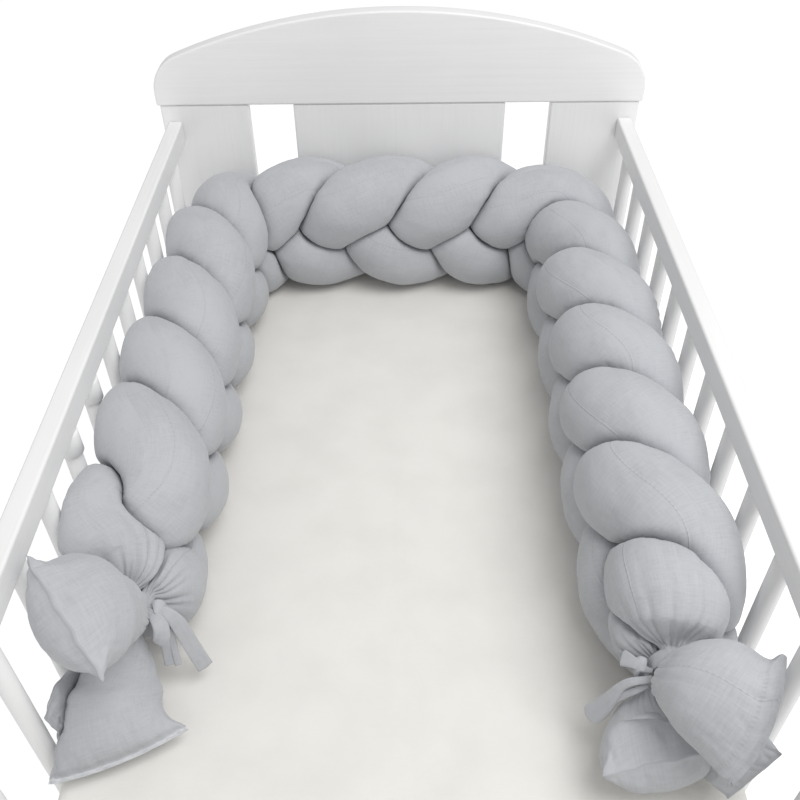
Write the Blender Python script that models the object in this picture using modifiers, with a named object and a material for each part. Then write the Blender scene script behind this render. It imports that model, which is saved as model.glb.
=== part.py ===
"""A braided crib bumper in its crib.

Three long cotton tubes, filled and braided like hair, stand on the mattress along the head end
and down both sides of a slatted crib. At each end of the braid a strip of the same cloth ties
the three tubes together, and past the tie each tube opens out into a loose end with a flat seam.

Metres, +Z up, +Y towards the headboard. The origin is on the floor under the crib's middle.
"""

import math

import bmesh
import bpy
import numpy as np
from mathutils import Matrix, Vector
from mathutils.bvhtree import BVHTree

# Crib: clear room between its ends and between its side slats, and its levels above the floor.
HALF_LENGTH = 0.600
SLAT_FACE = 0.311
RAIL_TOP = 0.870
MATTRESS_TOP = RAIL_TOP - 0.218
CLEARANCE = 0.0003

# Side rails and the round slats between them.
RAIL_INNER = 0.310
RAIL_OUTER = 0.330
RAIL_HEIGHT = 0.031
LOW_RAIL_TOP = 0.260
SLAT_RADIUS = 0.009
SLAT_PITCH = 0.0765
SLATS_EACH_WAY = 7
SLAT_SIDES = 10

# Two neighbouring slats of the left side lift out: their top ends stand in sleeves.
SLEEVED_SLATS = (7, 8)
SLEEVE_RADIUS = 0.0118
SLEEVE_LENGTH = 0.026

# End frames: corner boards down to the floor, a wide middle board, and boards across.
END_BOARD = 0.018
CORNER_OUTER = 0.3385
CORNER_INNER = 0.2135
MIDDLE_HALF = 0.150
ARCH_BOARD = 0.022
ARCH_PROUD = 0.002
ARCH_HALF = 0.3425
ARCH_BOTTOM = RAIL_TOP + 0.023
ARCH_TOP = 1.020
ARCH_RADIUS = 0.840
SHOULDER_RADIUS = 0.055
CROSS_TOP = 0.340
CROSS_BOTTOM = 0.250
FOOT_TOP = RAIL_TOP + 0.010
FOOT_BOARD_BOTTOM = RAIL_TOP - 0.080
FOOT_TOP_BOARD = ARCH_BOARD - ARCH_PROUD

# Mattress, the board under it, and the two ledges that carry the board.
MATTRESS_HALF_WIDTH = 0.305
MATTRESS_HALF_LENGTH = 0.594
MATTRESS_DEPTH = 0.100
MATTRESS_ROUND = 0.016
BASE_DEPTH = 0.012
LEDGE = 0.030

# Braid: tube radius, how far the tubes swing up and down and in and out, the spare gap between
# two tubes that press on each other, and the line on which the braid runs.
TUBE_RADIUS = 0.0465
SWING_UP = 0.0450
SWING_IN = 0.0190
TUBE_GAP = 0.0024
BRAID_MIDDLE = 0.0920
BRAID_OFFSET = 0.062
CORNER_RADIUS = 0.080
TUBE_SIDES = 14
TUBE_RINGS = 128

# The two ties, where the three tubes are drawn together.
NECK_RADIUS = 0.0099
NECK_SPREAD = 0.0106
NECK_SWELL = 0.050
NECK_HALF_LENGTH = 0.0100
NECK_STRAIGHT = 0.0110
NECK_TAPER = 0.075
NECKS = (
    # side, x, y, height above the mattress
    ("left", -0.246, -0.138, 0.100),
    ("right", 0.232, -0.202, 0.100),
)

# Dips between the upper lobes of the braid. Each row: distance along the braid from the left tie,
# how much higher the braid runs there, and how much nearer to the middle of the crib.
DIPS = (
    (-0.060, 0.000, -0.004),
    (0.108, 0.000, -0.008),
    (0.222, 0.000, -0.010),
    (0.334, 0.000, -0.010),
    (0.458, 0.000, -0.008),
    (0.585, -0.004, -0.004),
    (0.679, -0.014, 0.000),
    (0.797, 0.000, 0.003),
    (0.926, -0.004, 0.003),
    (1.036, -0.004, 0.003),
    (1.163, -0.020, 0.002),
    (1.303, -0.007, 0.004),
    (1.430, 0.000, 0.004),
    (1.541, 0.000, 0.006),
    (1.650, 0.000, 0.006),
    (1.770, 0.000, 0.004),
)

# Where one tube lies off that rule. Each row: tube, distance from the left tie, over what length
# either way, how much nearer to the middle of the crib, and how much higher.
NUDGES = (
    (0, 0.050, 0.050, -0.022, -0.006),
    (1, 0.042, 0.045, -0.020, 0.014),
    (2, 0.045, 0.035, -0.008, -0.006),
)

# Loose ends past the ties. Each row: which tube, two points that its middle passes, the middle
# of its end seam, half of that seam as a vector, half width and half depth of its fat part, how
# far the seam bows out, and how fast the end fattens past the tie. Heights are above the mattress.
LOOSE_ENDS = {
    "left": (
        (2, (-0.257, -0.160, 0.130), (-0.267, -0.182, 0.155), (-0.265, -0.209, 0.186),
         (-0.036, 0.038, 0.027), 0.051, 0.044, 0.004, 0.7),
        (1, (-0.256, -0.158, 0.068), (-0.273, -0.190, 0.043), (-0.2535, -0.241, 0.020),
         (-0.0565, -0.021, 0.001), 0.051, 0.036, 0.000, 0.8),
        (0, (-0.276, -0.160, 0.066), (-0.303, -0.192, 0.050), (-0.305, -0.230, 0.044),
         (-0.001, -0.004, 0.034), 0.030, 0.010, 0.000, 1.0),
    ),
    "right": (
        (0, (0.243, -0.221, 0.114), (0.258, -0.243, 0.122), (0.277, -0.267, 0.1225),
         (0.0215, 0.0295, 0.043), 0.048, 0.045, 0.014, 0.6),
        (2, (0.225, -0.222, 0.067), (0.219, -0.249, 0.043), (0.214, -0.279, 0.067),
         (0.049, 0.006, 0.010), 0.045, 0.042, 0.000, 1.3),
        (1, (0.250, -0.218, 0.066), (0.273, -0.242, 0.050), (0.292, -0.277, 0.056),
         (0.016, 0.005, 0.030), 0.036, 0.030, 0.000, 0.9),
    ),
}
SEAM_HALF = 0.0018
FATTEST = 0.50
TAPER_POWER = 2.5
TURN_DONE = 0.60

# Smoothing passes: along the whole braid, along a loose end, where tube and end meet, of the way
# that the rings face, and of the bulge along a tube. Then the points of an arc or of a loose
# end's middle line.
BRAID_SMOOTHING = 160
END_SMOOTHING = 40
JOIN_SMOOTHING = 6
WAY_SMOOTHING = 60
BULGE_SMOOTHING = 3
LINE_POINTS = 40

# How tubes press: how often the bulge is worked out anew, most growth of a pressed tube, how
# square its section gets, the least reach of its skin from its middle, how often the reach is
# halved to find a limit, the share of the full reach from which it counts as free, the reach that
# stands for no limit, and the gap to the crib.
PRESS_PASSES = 3
MOST_BULGE = 1.12
SQUARENESS = 8.0
LEAST_REACH = 0.002
HALVINGS = 11
UNPRESSED_SHARE = 0.995
FAR = 1.0
REST_GAP = 0.0006

# Rings: slices worked out for each ring that is kept, and how much closer rings stand at a tie.
SLICES_PER_RING = 6
CLOSER_WITHIN = 0.030
CLOSER_BY = 3.0

# Settling: passes of pushing apart and of drawing in, the gap that is opened between tubes, how
# far a neighbour is looked for, the longest push in one pass, the part of a push that a tube takes
# from a fellow, and the shares of corners in the points tested on an edge and on a face.
SETTLE_PASSES = 28
DRAW_IN_PASSES = 14
TUBE_APART = 0.0013
SETTLE_REACH = 0.012
SETTLE_STEP = 0.0020
SHARED_PUSH = 0.5
EDGE_POINT = (0.5, 0.5)
FACE_POINT = (0.6, 0.2, 0.2)
NO_WEIGHT = 1e-9

# Ties: a strip of cloth round each neck, a knot on the side towards the crib's middle, and the
# strip's free ends, each a row of points with heights above the mattress.
TIE_WIDTH = 0.0125
TIE_DEPTH = 0.0026
TIE_RING_WIDTH = 0.0100
TIE_RING_DEPTH = 0.0034
KNOT_HALF = (0.0075, 0.0065, 0.0080)
TIE_STEPS = 14
TIE_FINE_STEPS = 10
TIE_SMOOTHING = 30
TIE_LEVELS = (-0.9, -0.6, -0.3, 0.0, 0.3, 0.6, 0.9)
TIE_REACH = 0.060
TIE_GAP = 0.0007
TIE_RING_SIDES = 24
TIES = {
    "left": {
        "knot": (-0.219, -0.144, 0.100),
        "ends": (
            ((-0.219, -0.144, 0.102), (-0.210, -0.142, 0.101), (-0.201, -0.142, 0.092),
             (-0.195, -0.141, 0.072), (-0.191, -0.142, 0.045), (-0.189, -0.143, 0.022),
             (-0.188, -0.144, 0.004)),
            ((-0.219, -0.144, 0.098), (-0.214, -0.146, 0.088), (-0.212, -0.148, 0.070),
             (-0.214, -0.150, 0.050), (-0.217, -0.152, 0.034)),
        ),
    },
    "right": {
        "knot": (0.205, -0.204, 0.100),
        "ends": (
            ((0.205, -0.204, 0.098), (0.196, -0.206, 0.088), (0.188, -0.204, 0.066),
             (0.181, -0.202, 0.042), (0.176, -0.201, 0.020), (0.170, -0.204, 0.004)),
            ((0.205, -0.204, 0.103), (0.197, -0.198, 0.107), (0.191, -0.190, 0.105),
             (0.188, -0.182, 0.099)),
        ),
    },
}


def clear_scene():
    for obj in list(bpy.data.objects):
        bpy.data.objects.remove(obj, do_unlink=True)


def new_collection(name):
    collection = bpy.data.collections.new(name)
    bpy.context.scene.collection.children.link(collection)
    return collection


def material(name, colour, roughness):
    made = bpy.data.materials.new(name)
    made.use_nodes = True
    shader = made.node_tree.nodes["Principled BSDF"]
    shader.inputs["Base Color"].default_value = (*colour, 1.0)
    shader.inputs["Roughness"].default_value = roughness
    shader.inputs["Metallic"].default_value = 0.0
    return made


clear_scene()
PARTS = new_collection("braided_crib_bumper")
HELPERS = new_collection("pieces_joined_to_others")


def add_mesh_object(name, mesh, finish, location=(0.0, 0.0, 0.0)):
    obj = bpy.data.objects.new(name, mesh)
    obj.location = location
    mesh.materials.append(finish)
    PARTS.objects.link(obj)
    return obj


def box(name, low, high, finish, rounding=0.0, segments=1):
    """A box between two corners, with its edges rounded by a Bevel where asked."""
    size = np.subtract(high, low)
    shape = bmesh.new()
    bmesh.ops.create_cube(shape, size=1.0)
    bmesh.ops.scale(shape, vec=size, verts=shape.verts)
    mesh = bpy.data.meshes.new(name)
    shape.to_mesh(mesh)
    shape.free()
    obj = add_mesh_object(name, mesh, finish, np.add(low, high) / 2)
    if rounding:
        bevel = obj.modifiers.new("rounded_edges", "BEVEL")
        bevel.width = rounding
        bevel.segments = segments
    return obj


# ---------------------------------------------------------------- crib


def arch_outline(steps_shoulder=6, steps_top=18):
    """The head arch seen from inside: straight bottom and sides, round shoulders, one long arc."""
    centre_top = ARCH_TOP - ARCH_RADIUS
    shoulder_x = ARCH_HALF - SHOULDER_RADIUS
    reach = ARCH_RADIUS - SHOULDER_RADIUS
    shoulder_z = centre_top + math.sqrt(reach**2 - shoulder_x**2)
    lean = math.atan2(shoulder_z - centre_top, shoulder_x)
    points = [(ARCH_HALF, ARCH_BOTTOM)]
    for k in range(steps_shoulder):
        a = lean * k / steps_shoulder
        points.append((shoulder_x + SHOULDER_RADIUS * math.cos(a),
                       shoulder_z + SHOULDER_RADIUS * math.sin(a)))
    for k in range(steps_top // 2 + 1):
        a = lean + (math.pi / 2 - lean) * k / (steps_top // 2)
        points.append((ARCH_RADIUS * math.cos(a), centre_top + ARCH_RADIUS * math.sin(a)))
    mirrored = [(-x, z) for x, z in reversed(points[:-1])]
    return points + mirrored


def flat_board(name, outline, y_face, thickness, finish, rounding):
    """A board cut to an outline in the XZ plane, its inner face at y_face, its edges rounded."""
    curve = bpy.data.curves.new(name, "CURVE")
    curve.dimensions = "2D"
    curve.fill_mode = "BOTH"
    curve.extrude = thickness / 2
    spline = curve.splines.new("POLY")
    spline.points.add(len(outline) - 1)
    for point, (x, z) in zip(spline.points, outline):
        point.co = (x, z, 0.0, 1.0)
    spline.use_cyclic_u = True
    obj = bpy.data.objects.new(name, curve)
    obj.location = (0.0, y_face + thickness / 2, 0.0)
    obj.rotation_euler = (math.pi / 2, 0.0, 0.0)
    curve.materials.append(finish)
    PARTS.objects.link(obj)
    weld = obj.modifiers.new("weld", "WELD")
    weld.merge_threshold = 0.0001
    bevel = obj.modifiers.new("rounded_edges", "BEVEL")
    bevel.width = rounding
    bevel.segments = 1
    bevel.limit_method = "ANGLE"
    bevel.angle_limit = math.radians(50)
    return obj


def end_frame(label, side, board_top, finish):
    """Corner boards, middle board and low cross board of one end. side is +1 head, -1 foot."""

    def y_span(depth):
        faces = (side * HALF_LENGTH, side * (HALF_LENGTH + depth))
        return min(faces), max(faces)

    low, high = y_span(END_BOARD)
    for corner, sign in (("left", -1), ("right", 1)):
        xs = sorted((sign * CORNER_INNER, sign * CORNER_OUTER))
        box(f"{label}_corner_board_{corner}", (xs[0], low, 0.0),
            (xs[1], high, board_top - CLEARANCE), finish, 0.003)
    box(f"{label}_middle_board", (-MIDDLE_HALF, low, CROSS_TOP + CLEARANCE),
        (MIDDLE_HALF, high, board_top - CLEARANCE), finish, 0.003)
    inside = CORNER_INNER - CLEARANCE
    box(f"{label}_cross_board", (-inside, low, CROSS_BOTTOM), (inside, high, CROSS_TOP),
        finish, 0.003)


def crib(finish, mattress_finish):
    end_frame("head", 1, ARCH_BOTTOM, finish)
    end_frame("foot", -1, FOOT_BOARD_BOTTOM, finish)
    flat_board("head_arch", arch_outline(), HALF_LENGTH - ARCH_PROUD, ARCH_BOARD, finish, 0.003)
    box("foot_top_board", (-CORNER_OUTER, -HALF_LENGTH - FOOT_TOP_BOARD, FOOT_BOARD_BOTTOM),
        (CORNER_OUTER, -HALF_LENGTH, FOOT_TOP), finish, 0.004)

    rail_end = HALF_LENGTH - CLEARANCE
    for corner, sign in (("left", -1), ("right", 1)):
        xs = sorted((sign * RAIL_INNER, sign * RAIL_OUTER))
        for level, top in (("top", RAIL_TOP), ("low", LOW_RAIL_TOP)):
            box(f"rail_{level}_{corner}", (xs[0], -rail_end, top - RAIL_HEIGHT),
                (xs[1], rail_end, top), finish, 0.003)
        side_slats(corner, sign, finish)

    base_top = MATTRESS_TOP - MATTRESS_DEPTH - CLEARANCE
    ledge_top = base_top - BASE_DEPTH - CLEARANCE
    box("mattress_base", (-MATTRESS_HALF_WIDTH, -rail_end, base_top - BASE_DEPTH),
        (MATTRESS_HALF_WIDTH, rail_end, base_top), finish)
    for end, sign in (("head", 1), ("foot", -1)):
        ys = sorted((sign * rail_end, sign * (rail_end - LEDGE)))
        box(f"ledge_{end}", (-MATTRESS_HALF_WIDTH, ys[0], ledge_top - LEDGE),
            (MATTRESS_HALF_WIDTH, ys[1], ledge_top), finish)
    box("mattress", (-MATTRESS_HALF_WIDTH, -MATTRESS_HALF_LENGTH, MATTRESS_TOP - MATTRESS_DEPTH),
        (MATTRESS_HALF_WIDTH, MATTRESS_HALF_LENGTH, MATTRESS_TOP), mattress_finish,
        MATTRESS_ROUND, 3)


def rod(name, radius, x, y, bottom, top, finish):
    """An upright round rod, its side shaded smooth and its ends flat."""
    shape = bmesh.new()
    bmesh.ops.create_cone(shape, cap_ends=True, segments=SLAT_SIDES, radius1=radius,
                          radius2=radius, depth=top - bottom)
    mesh = bpy.data.meshes.new(name)
    shape.to_mesh(mesh)
    shape.free()
    mesh.shade_smooth()
    mesh.set_sharp_from_angle(angle=math.radians(40))
    add_mesh_object(name, mesh, finish, (x, y, (bottom + top) / 2))


def side_slats(corner, sign, finish):
    """Round slats of one side, from the low rail to the top rail, two of them with sleeves."""
    top = RAIL_TOP - RAIL_HEIGHT - CLEARANCE
    x = sign * (SLAT_FACE + SLAT_RADIUS)
    for k in range(2 * SLATS_EACH_WAY + 1):
        y = (k - SLATS_EACH_WAY) * SLAT_PITCH
        slat_top = top
        if corner == "left" and k in SLEEVED_SLATS:
            slat_top = top - SLEEVE_LENGTH - CLEARANCE
            rod(f"slat_sleeve_{k + 1:02d}", SLEEVE_RADIUS, x, y, top - SLEEVE_LENGTH, top, finish)
        rod(f"slat_{corner}_{k + 1:02d}", SLAT_RADIUS, x, y, LOW_RAIL_TOP + CLEARANCE, slat_top,
            finish)


# ---------------------------------------------------------------- braid


def smoothstep(x):
    t = np.clip(x, 0.0, 1.0)
    return t * t * (3 - 2 * t)


def unit(vectors):
    return vectors / np.linalg.norm(vectors, axis=-1, keepdims=True)


def even_steps(points, count):
    """count points at even distances along a polyline, with the distances."""
    run = np.r_[0.0, np.cumsum(np.linalg.norm(np.diff(points, axis=0), axis=1))]
    steps = np.linspace(0.0, run[-1], count)
    return np.stack([np.interp(steps, run, column) for column in points.T], 1), steps


def rounded(points, passes):
    """A polyline with each inner point moved to the mean of itself and its two neighbours."""
    points = points.copy()
    for _ in range(passes):
        points[1:-1] = (points[:-2] + points[1:-1] + points[2:]) / 3
    return points


def braid_line(step=0.002):
    """The U that the braid's middle follows in plan, from the left tie round to the right one."""
    x = SLAT_FACE - BRAID_OFFSET
    y = HALF_LENGTH - BRAID_OFFSET
    r = CORNER_RADIUS
    left = np.radians(np.linspace(180, 90, LINE_POINTS))
    right = np.radians(np.linspace(90, 0, LINE_POINTS))
    points = np.concatenate([
        [(-x, NECKS[0][2])],
        np.stack([-x + r + r * np.cos(left), y - r + r * np.sin(left)], 1),
        np.stack([x - r + r * np.cos(right), y - r + r * np.sin(right)], 1),
        [(x, NECKS[1][2])],
    ])
    length = np.linalg.norm(np.diff(points, axis=0), axis=1).sum()
    return even_steps(points, int(length / step))


def along_dips(run, column):
    """One column of the table of dips, read smoothly at each distance along the braid."""
    rows = np.array(DIPS)
    return rounded(np.interp(run, rows[:, 0], rows[:, column])[:, None], BRAID_SMOOTHING)[:, 0]


def lobe_number(run):
    """A count that grows by one from each upper lobe of the braid to the next."""
    dips = np.array(DIPS)[:, 0]
    knots = np.r_[2 * dips[0] - dips[1], dips, 2 * dips[-1] - dips[-2]]
    count = np.interp(run, knots, np.arange(-1, len(dips) + 1)) - 0.5
    return rounded(count[:, None], BRAID_SMOOTHING)[:, 0]


def braid_part(tube):
    """Middle line of one tube between the two ties.

    Up and down the tube swings as a sine of its phase, and in and out as the sine of twice
    that phase, so each tube passes over, under and over its fellows as in a plait of three.
    """
    plan, run = braid_line()
    along = unit(np.gradient(plan, axis=0))
    inward = np.stack([along[:, 1], -along[:, 0]], 1)
    opens = [smoothstep(run / NECK_TAPER), smoothstep((run[-1] - run) / NECK_TAPER)]
    opened = opens[0] * opens[1]
    phase = np.pi / 2 - 2 * np.pi / 3 * (lobe_number(run) - tube)
    swing = NECK_SPREAD / SWING_UP * (1 - opened) + opened
    middle = np.zeros((len(run), 3))
    middle[:, :2] = plan + inward * along_dips(run, 2)[:, None]
    middle[:, 2] = BRAID_MIDDLE + along_dips(run, 1)
    for opening, at, (_, x, y, z) in zip(opens, (0, -1), NECKS):
        middle += (1 - opening)[:, None] * ((x, y, z) - middle[at])
    into = NECK_SPREAD * np.cos(phase) * (1 - opened) - SWING_IN * np.sin(2 * phase) * opened
    middle[:, :2] += inward * into[:, None]
    middle[:, 2] += SWING_UP * swing * np.sin(phase)
    for nudged, centre, spread, nearer, higher in NUDGES:
        if nudged == tube:
            amount = (opened * np.exp(-(((run - centre) / spread) ** 2)))[:, None]
            middle += amount * np.column_stack([inward * nearer, np.full(len(run), higher)])
    return middle


def loose_end(row, neck_point):
    """Middle line of a loose end: straight out of the tie, then a smooth run to its seam."""
    straight = neck_point - np.linspace(0, NECK_STRAIGHT, 6)[:, None] * (0.0, 1.0, 0.0)
    line, _ = even_steps(np.array([straight[-1], row[1], row[2], row[3]]), LINE_POINTS)
    return np.concatenate([straight[:-1], rounded(line, END_SMOOTHING)])


def tube_stations(tube):
    """Everything that the rings of one tube need, at even slices from its left to its right seam.

    Its middle line, the direction of each section's width, half width, half depth, and how far
    the middle of a seam stands out past the seam's corners.
    """
    braid = braid_part(tube)
    rows = {side: next(row for row in LOOSE_ENDS[side] if row[0] == tube) for side in LOOSE_ENDS}
    left = loose_end(rows["left"], braid[0])[::-1]
    right = loose_end(rows["right"], braid[-1])
    line = rounded(np.concatenate([left[:-1], braid, right[1:]]), JOIN_SMOOTHING)
    run = np.r_[0.0, np.cumsum(np.linalg.norm(np.diff(line, axis=0), axis=1))]
    left_tie = run[len(left) - 1]
    right_tie = run[len(left) + len(braid) - 2]
    slices = closer_at(run, (left_tie, right_tie), SLICES_PER_RING * (TUBE_RINGS - 1) + 1)
    middle = np.stack([np.interp(slices, run, column) for column in line.T], 1)

    near = np.minimum(slices - left_tie, right_tie - slices) - NECK_HALF_LENGTH
    swell = np.sqrt(1 - (1 - np.clip(near / NECK_SWELL, 0, 1)) ** 2)
    wide = NECK_RADIUS + (TUBE_RADIUS - NECK_RADIUS) * swell
    deep = wide.copy()
    bow = np.zeros(len(slices))
    slant = np.zeros(len(slices))
    width_way = np.tile((0.0, 0.0, 1.0), (len(slices), 1))
    for side, sign, away in (("left", -1, left_tie - slices), ("right", 1, slices - right_tie)):
        _, _, _, _, seam, half_wide, half_deep, stand, fullness = rows[side]
        outside = away >= 0
        part = np.clip((away - NECK_HALF_LENGTH) / (away.max() - NECK_HALF_LENGTH), 0, 1)
        seam_half = np.linalg.norm(seam)
        swell = np.sin(np.pi / 2 * np.clip(part / FATTEST, 0, 1)) ** fullness
        taper = np.clip((part - FATTEST) / (1 - FATTEST), 0, 1)
        fat_wide = NECK_RADIUS + (half_wide - NECK_RADIUS) * swell
        fat_deep = NECK_RADIUS + (half_deep - NECK_RADIUS) * swell
        end_wide = fat_wide + (seam_half - fat_wide) * taper**TAPER_POWER
        end_deep = SEAM_HALF + (fat_deep - SEAM_HALF) * np.sqrt(1 - taper**2)
        wide = np.where(outside, end_wide, wide)
        deep = np.where(outside, end_deep, deep)
        bow = np.where(outside, sign * stand * smoothstep(taper), bow)
        turn = smoothstep(part / TURN_DONE)[:, None]
        turned = (1 - turn) * width_way + turn * np.divide(seam, seam_half)
        width_way = np.where(outside[:, None], turned, width_way)
        slant = np.where(outside, smoothstep(taper), slant)
    return {"middle": middle, "wide": wide, "deep": deep, "bow": bow,
            **ring_ways(middle, width_way, slant)}


def closer_at(run, places, count):
    """count distances along a run, at even steps that shrink near the given places."""
    near = sum(np.exp(-((run - place) / CLOSER_WITHIN) ** 2) for place in places)
    spent = np.cumsum(np.gradient(run) * (1 + CLOSER_BY * near))
    return np.interp(np.linspace(spent[0], spent[-1], count), spent, run)


def ring_ways(middle, width_way, slant):
    """Unit directions at each slice: along the tube, along its width and along its depth.

    A slice is square to the tube where slant is 0. Where it is 1, its width lies along
    width_way itself, as a seam does that runs across the tube at an angle.
    """
    along = unit(rounded(np.gradient(middle, axis=0), WAY_SMOOTHING))
    square = unit(width_way - (width_way * along).sum(1, keepdims=True) * along)
    wide_way = unit(square + slant[:, None] * (unit(width_way) - square))
    return {"along": along, "wide_way": wide_way, "deep_way": unit(np.cross(along, wide_way))}


def press(tubes):
    """Skin points of every tube, ring by ring, once the tubes press on each other.

    Where two tubes want the same room, each is cut back to the surface that lies the same share
    of the way out of both, less half of the gap between them. A tube that is pressed on one side
    keeps the length of cloth round it, so it bulges on its free sides.
    """
    angle = 2 * np.pi * np.arange(TUBE_SIDES) / TUBE_SIDES
    cos, sin = np.cos(angle)[:, None, None], np.sin(angle)[:, None, None]
    ring = slice(None, None, SLICES_PER_RING)
    bulges = [np.ones(TUBE_RINGS) for _ in tubes]
    skins = [None] * len(tubes)
    for _ in range(PRESS_PASSES):
        for i, tube in enumerate(tubes):
            middle = tube["middle"][ring]
            across = (cos * tube["wide"][ring][:, None] * tube["wide_way"][ring]
                      + sin * tube["deep"][ring][:, None] * tube["deep_way"][ring])
            free = np.linalg.norm(across, axis=2)
            way = across / free[:, :, None]
            full = free * bulges[i]
            limit = room_in_crib(middle, way)
            for j, other in enumerate(tubes):
                if j != i:
                    limit = np.minimum(limit, room_beside(middle, way, full, other))
            reach = (full**-SQUARENESS + limit**-SQUARENESS) ** (-1 / SQUARENESS)
            skins[i] = middle + reach[:, :, None] * way
            bulge = bulges[i] * loop_length(middle + free[:, :, None] * way) / loop_length(skins[i])
            bulges[i] = np.clip(rounded(bulge[:, None], BULGE_SMOOTHING)[:, 0], 1.0, MOST_BULGE)
    for tube, skin in zip(tubes, skins):
        stand = tube["bow"][ring][:, None] * sin[:, :, 0][:, :, None] ** 2
        skin += stand * tube["along"][ring]
    return skins


def loop_length(skin):
    """Length of cloth round each ring."""
    return np.linalg.norm(np.roll(skin, -1, axis=0) - skin, axis=2).sum(0)


def room_beside(middle, way, full, other):
    """Furthest reach along each direction that stays nearer, by share, to this tube."""
    thinned = slice(None, None, SLICES_PER_RING // 2)
    size = np.sqrt(other["wide"] * other["deep"])[thinned]
    centres = other["middle"][thinned]
    spare = TUBE_GAP / TUBE_RADIUS
    low = np.full(full.shape, LEAST_REACH)
    high = full.copy()
    for _ in range(HALVINGS):
        trial = (low + high) / 2
        points = middle + trial[:, :, None] * way
        share = np.full(full.shape, np.inf)
        for centre, radius in zip(centres, size):
            share = np.minimum(share, np.sqrt(((points - centre) ** 2).sum(2)) / radius)
        fits = trial / full + spare <= share
        low = np.where(fits, trial, low)
        high = np.where(fits, high, trial)
    return np.where(low > full * UNPRESSED_SHARE, FAR, low)


def room_in_crib(middle, way):
    """Reach along each direction as far as the mattress, the slats and the head end."""
    limit = np.full(way.shape[:2], FAR)
    for axis, sign, face in (
        (2, -1, 0.0),
        (0, -1, SLAT_FACE),
        (0, 1, SLAT_FACE),
        (1, 1, HALF_LENGTH - ARCH_PROUD),
    ):
        towards = np.maximum(sign * way[:, :, axis], 1e-6)
        spare = face - REST_GAP - sign * middle[:, axis]
        limit = np.minimum(limit, np.maximum(spare, LEAST_REACH) / towards)
    return limit


def skin_faces(sides, rings):
    """Triangles of a tube of rings, its two ends closed by strips across them."""
    index = np.arange(sides * rings).reshape(rings, sides)
    onward = np.roll(index, -1, axis=1)
    a, b, c, d = index[:-1], onward[:-1], onward[1:], index[1:]
    faces = [np.stack([a, b, c], 2).reshape(-1, 3), np.stack([a, c, d], 2).reshape(-1, 3)]
    k = np.arange(sides // 2)
    across = [(0, 1, sides - 1)]
    across += [(j, j + 1, sides - j - 1) for j in k[1:-1]]
    across += [(j, sides - j - 1, sides - j) for j in k[1:]]
    cap = np.array(across)
    return np.concatenate(faces + [index[0][cap][:, ::-1], index[-1][cap]])


def skin_mesh(name, skin):
    """A closed mesh from rings of points."""
    sides, rings, _ = skin.shape
    mesh = bpy.data.meshes.new(name)
    points = skin.transpose(1, 0, 2).reshape(-1, 3) + (0.0, 0.0, MATTRESS_TOP)
    mesh.from_pydata(points.tolist(), [], skin_faces(sides, rings).tolist())
    mesh.update()
    mesh.shade_smooth()
    return mesh


def search_tree(mesh):
    """Faces of a finished mesh as a search tree, with heights above the mattress."""
    points = [v.co - Vector((0.0, 0.0, MATTRESS_TOP)) for v in mesh.vertices]
    return BVHTree.FromPolygons(points, [face.vertices[:] for face in mesh.polygons])


def settle(skins, fixed):
    """Move the points of the tubes apart until no tube cuts another, a tie or the crib.

    Each corner, edge middle and face point of a tube that lies in another solid, or nearer to
    it than the gap, is pushed out along the nearest face's normal, and the deepest counts most.
    Two tubes share the push, and a tie takes none. In the last passes what still lies too near
    is drawn in towards its own ring's middle, which can't bring it nearer to anything else.
    """
    sides, rings, _ = skins[0].shape
    faces = skin_faces(sides, rings)
    ends = np.concatenate([faces[:, [0, 1]], faces[:, [1, 2]], faces[:, [2, 0]]])
    ends = np.unique(np.sort(ends, axis=1), axis=0)
    samples = [(np.arange(sides * rings)[:, None], (1.0,)), (ends, EDGE_POINT)]
    samples += [(np.roll(faces, k, axis=1), FACE_POINT) for k in range(3)]
    points = [skin.transpose(1, 0, 2).reshape(-1, 3) for skin in skins]
    for step in range(SETTLE_PASSES + DRAW_IN_PASSES):
        drawn_in = step >= SETTLE_PASSES
        trees = [BVHTree.FromPolygons(p.tolist(), faces.tolist()) for p in points]
        moved = []
        for i, own in enumerate(points):
            inward = unit(np.repeat(own.reshape(-1, sides, 3).mean(1), sides, axis=0) - own)
            push = np.zeros_like(own)
            weight = np.full(len(own), NO_WEIGHT)
            others = [(tree, SHARED_PUSH, TUBE_APART) for j, tree in enumerate(trees) if j != i]
            others += [(tree, 1.0, TIE_GAP) for tree in fixed]
            for corners, shares in samples:
                tested = np.einsum("nkc,k->nc", own[corners], shares)
                for tree, part, gap in others:
                    for k, point in enumerate(tested):
                        place, normal, _, _ = tree.find_nearest(point, SETTLE_REACH)
                        if place is None:
                            continue
                        depth = min(gap - (Vector(point) - place).dot(normal), SETTLE_STEP)
                        if 0 < depth:
                            way = inward[corners[k]] if drawn_in else np.array(normal)
                            push[corners[k]] += way * depth**2 * part
                            weight[corners[k]] += depth
            moved.append(own + push / weight[:, None])
        points = [off_tapes(inside_crib(p), sides) for p in moved]
    return [p.reshape(rings, sides, 3).transpose(1, 0, 2) for p in points]


def inside_crib(points):
    """Points kept off the mattress, the slats and the head end."""
    side = SLAT_FACE - REST_GAP
    low = (-side, -HALF_LENGTH, REST_GAP)
    high = (side, HALF_LENGTH - ARCH_PROUD - REST_GAP, RAIL_TOP)
    return np.clip(points, low, high)


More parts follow.
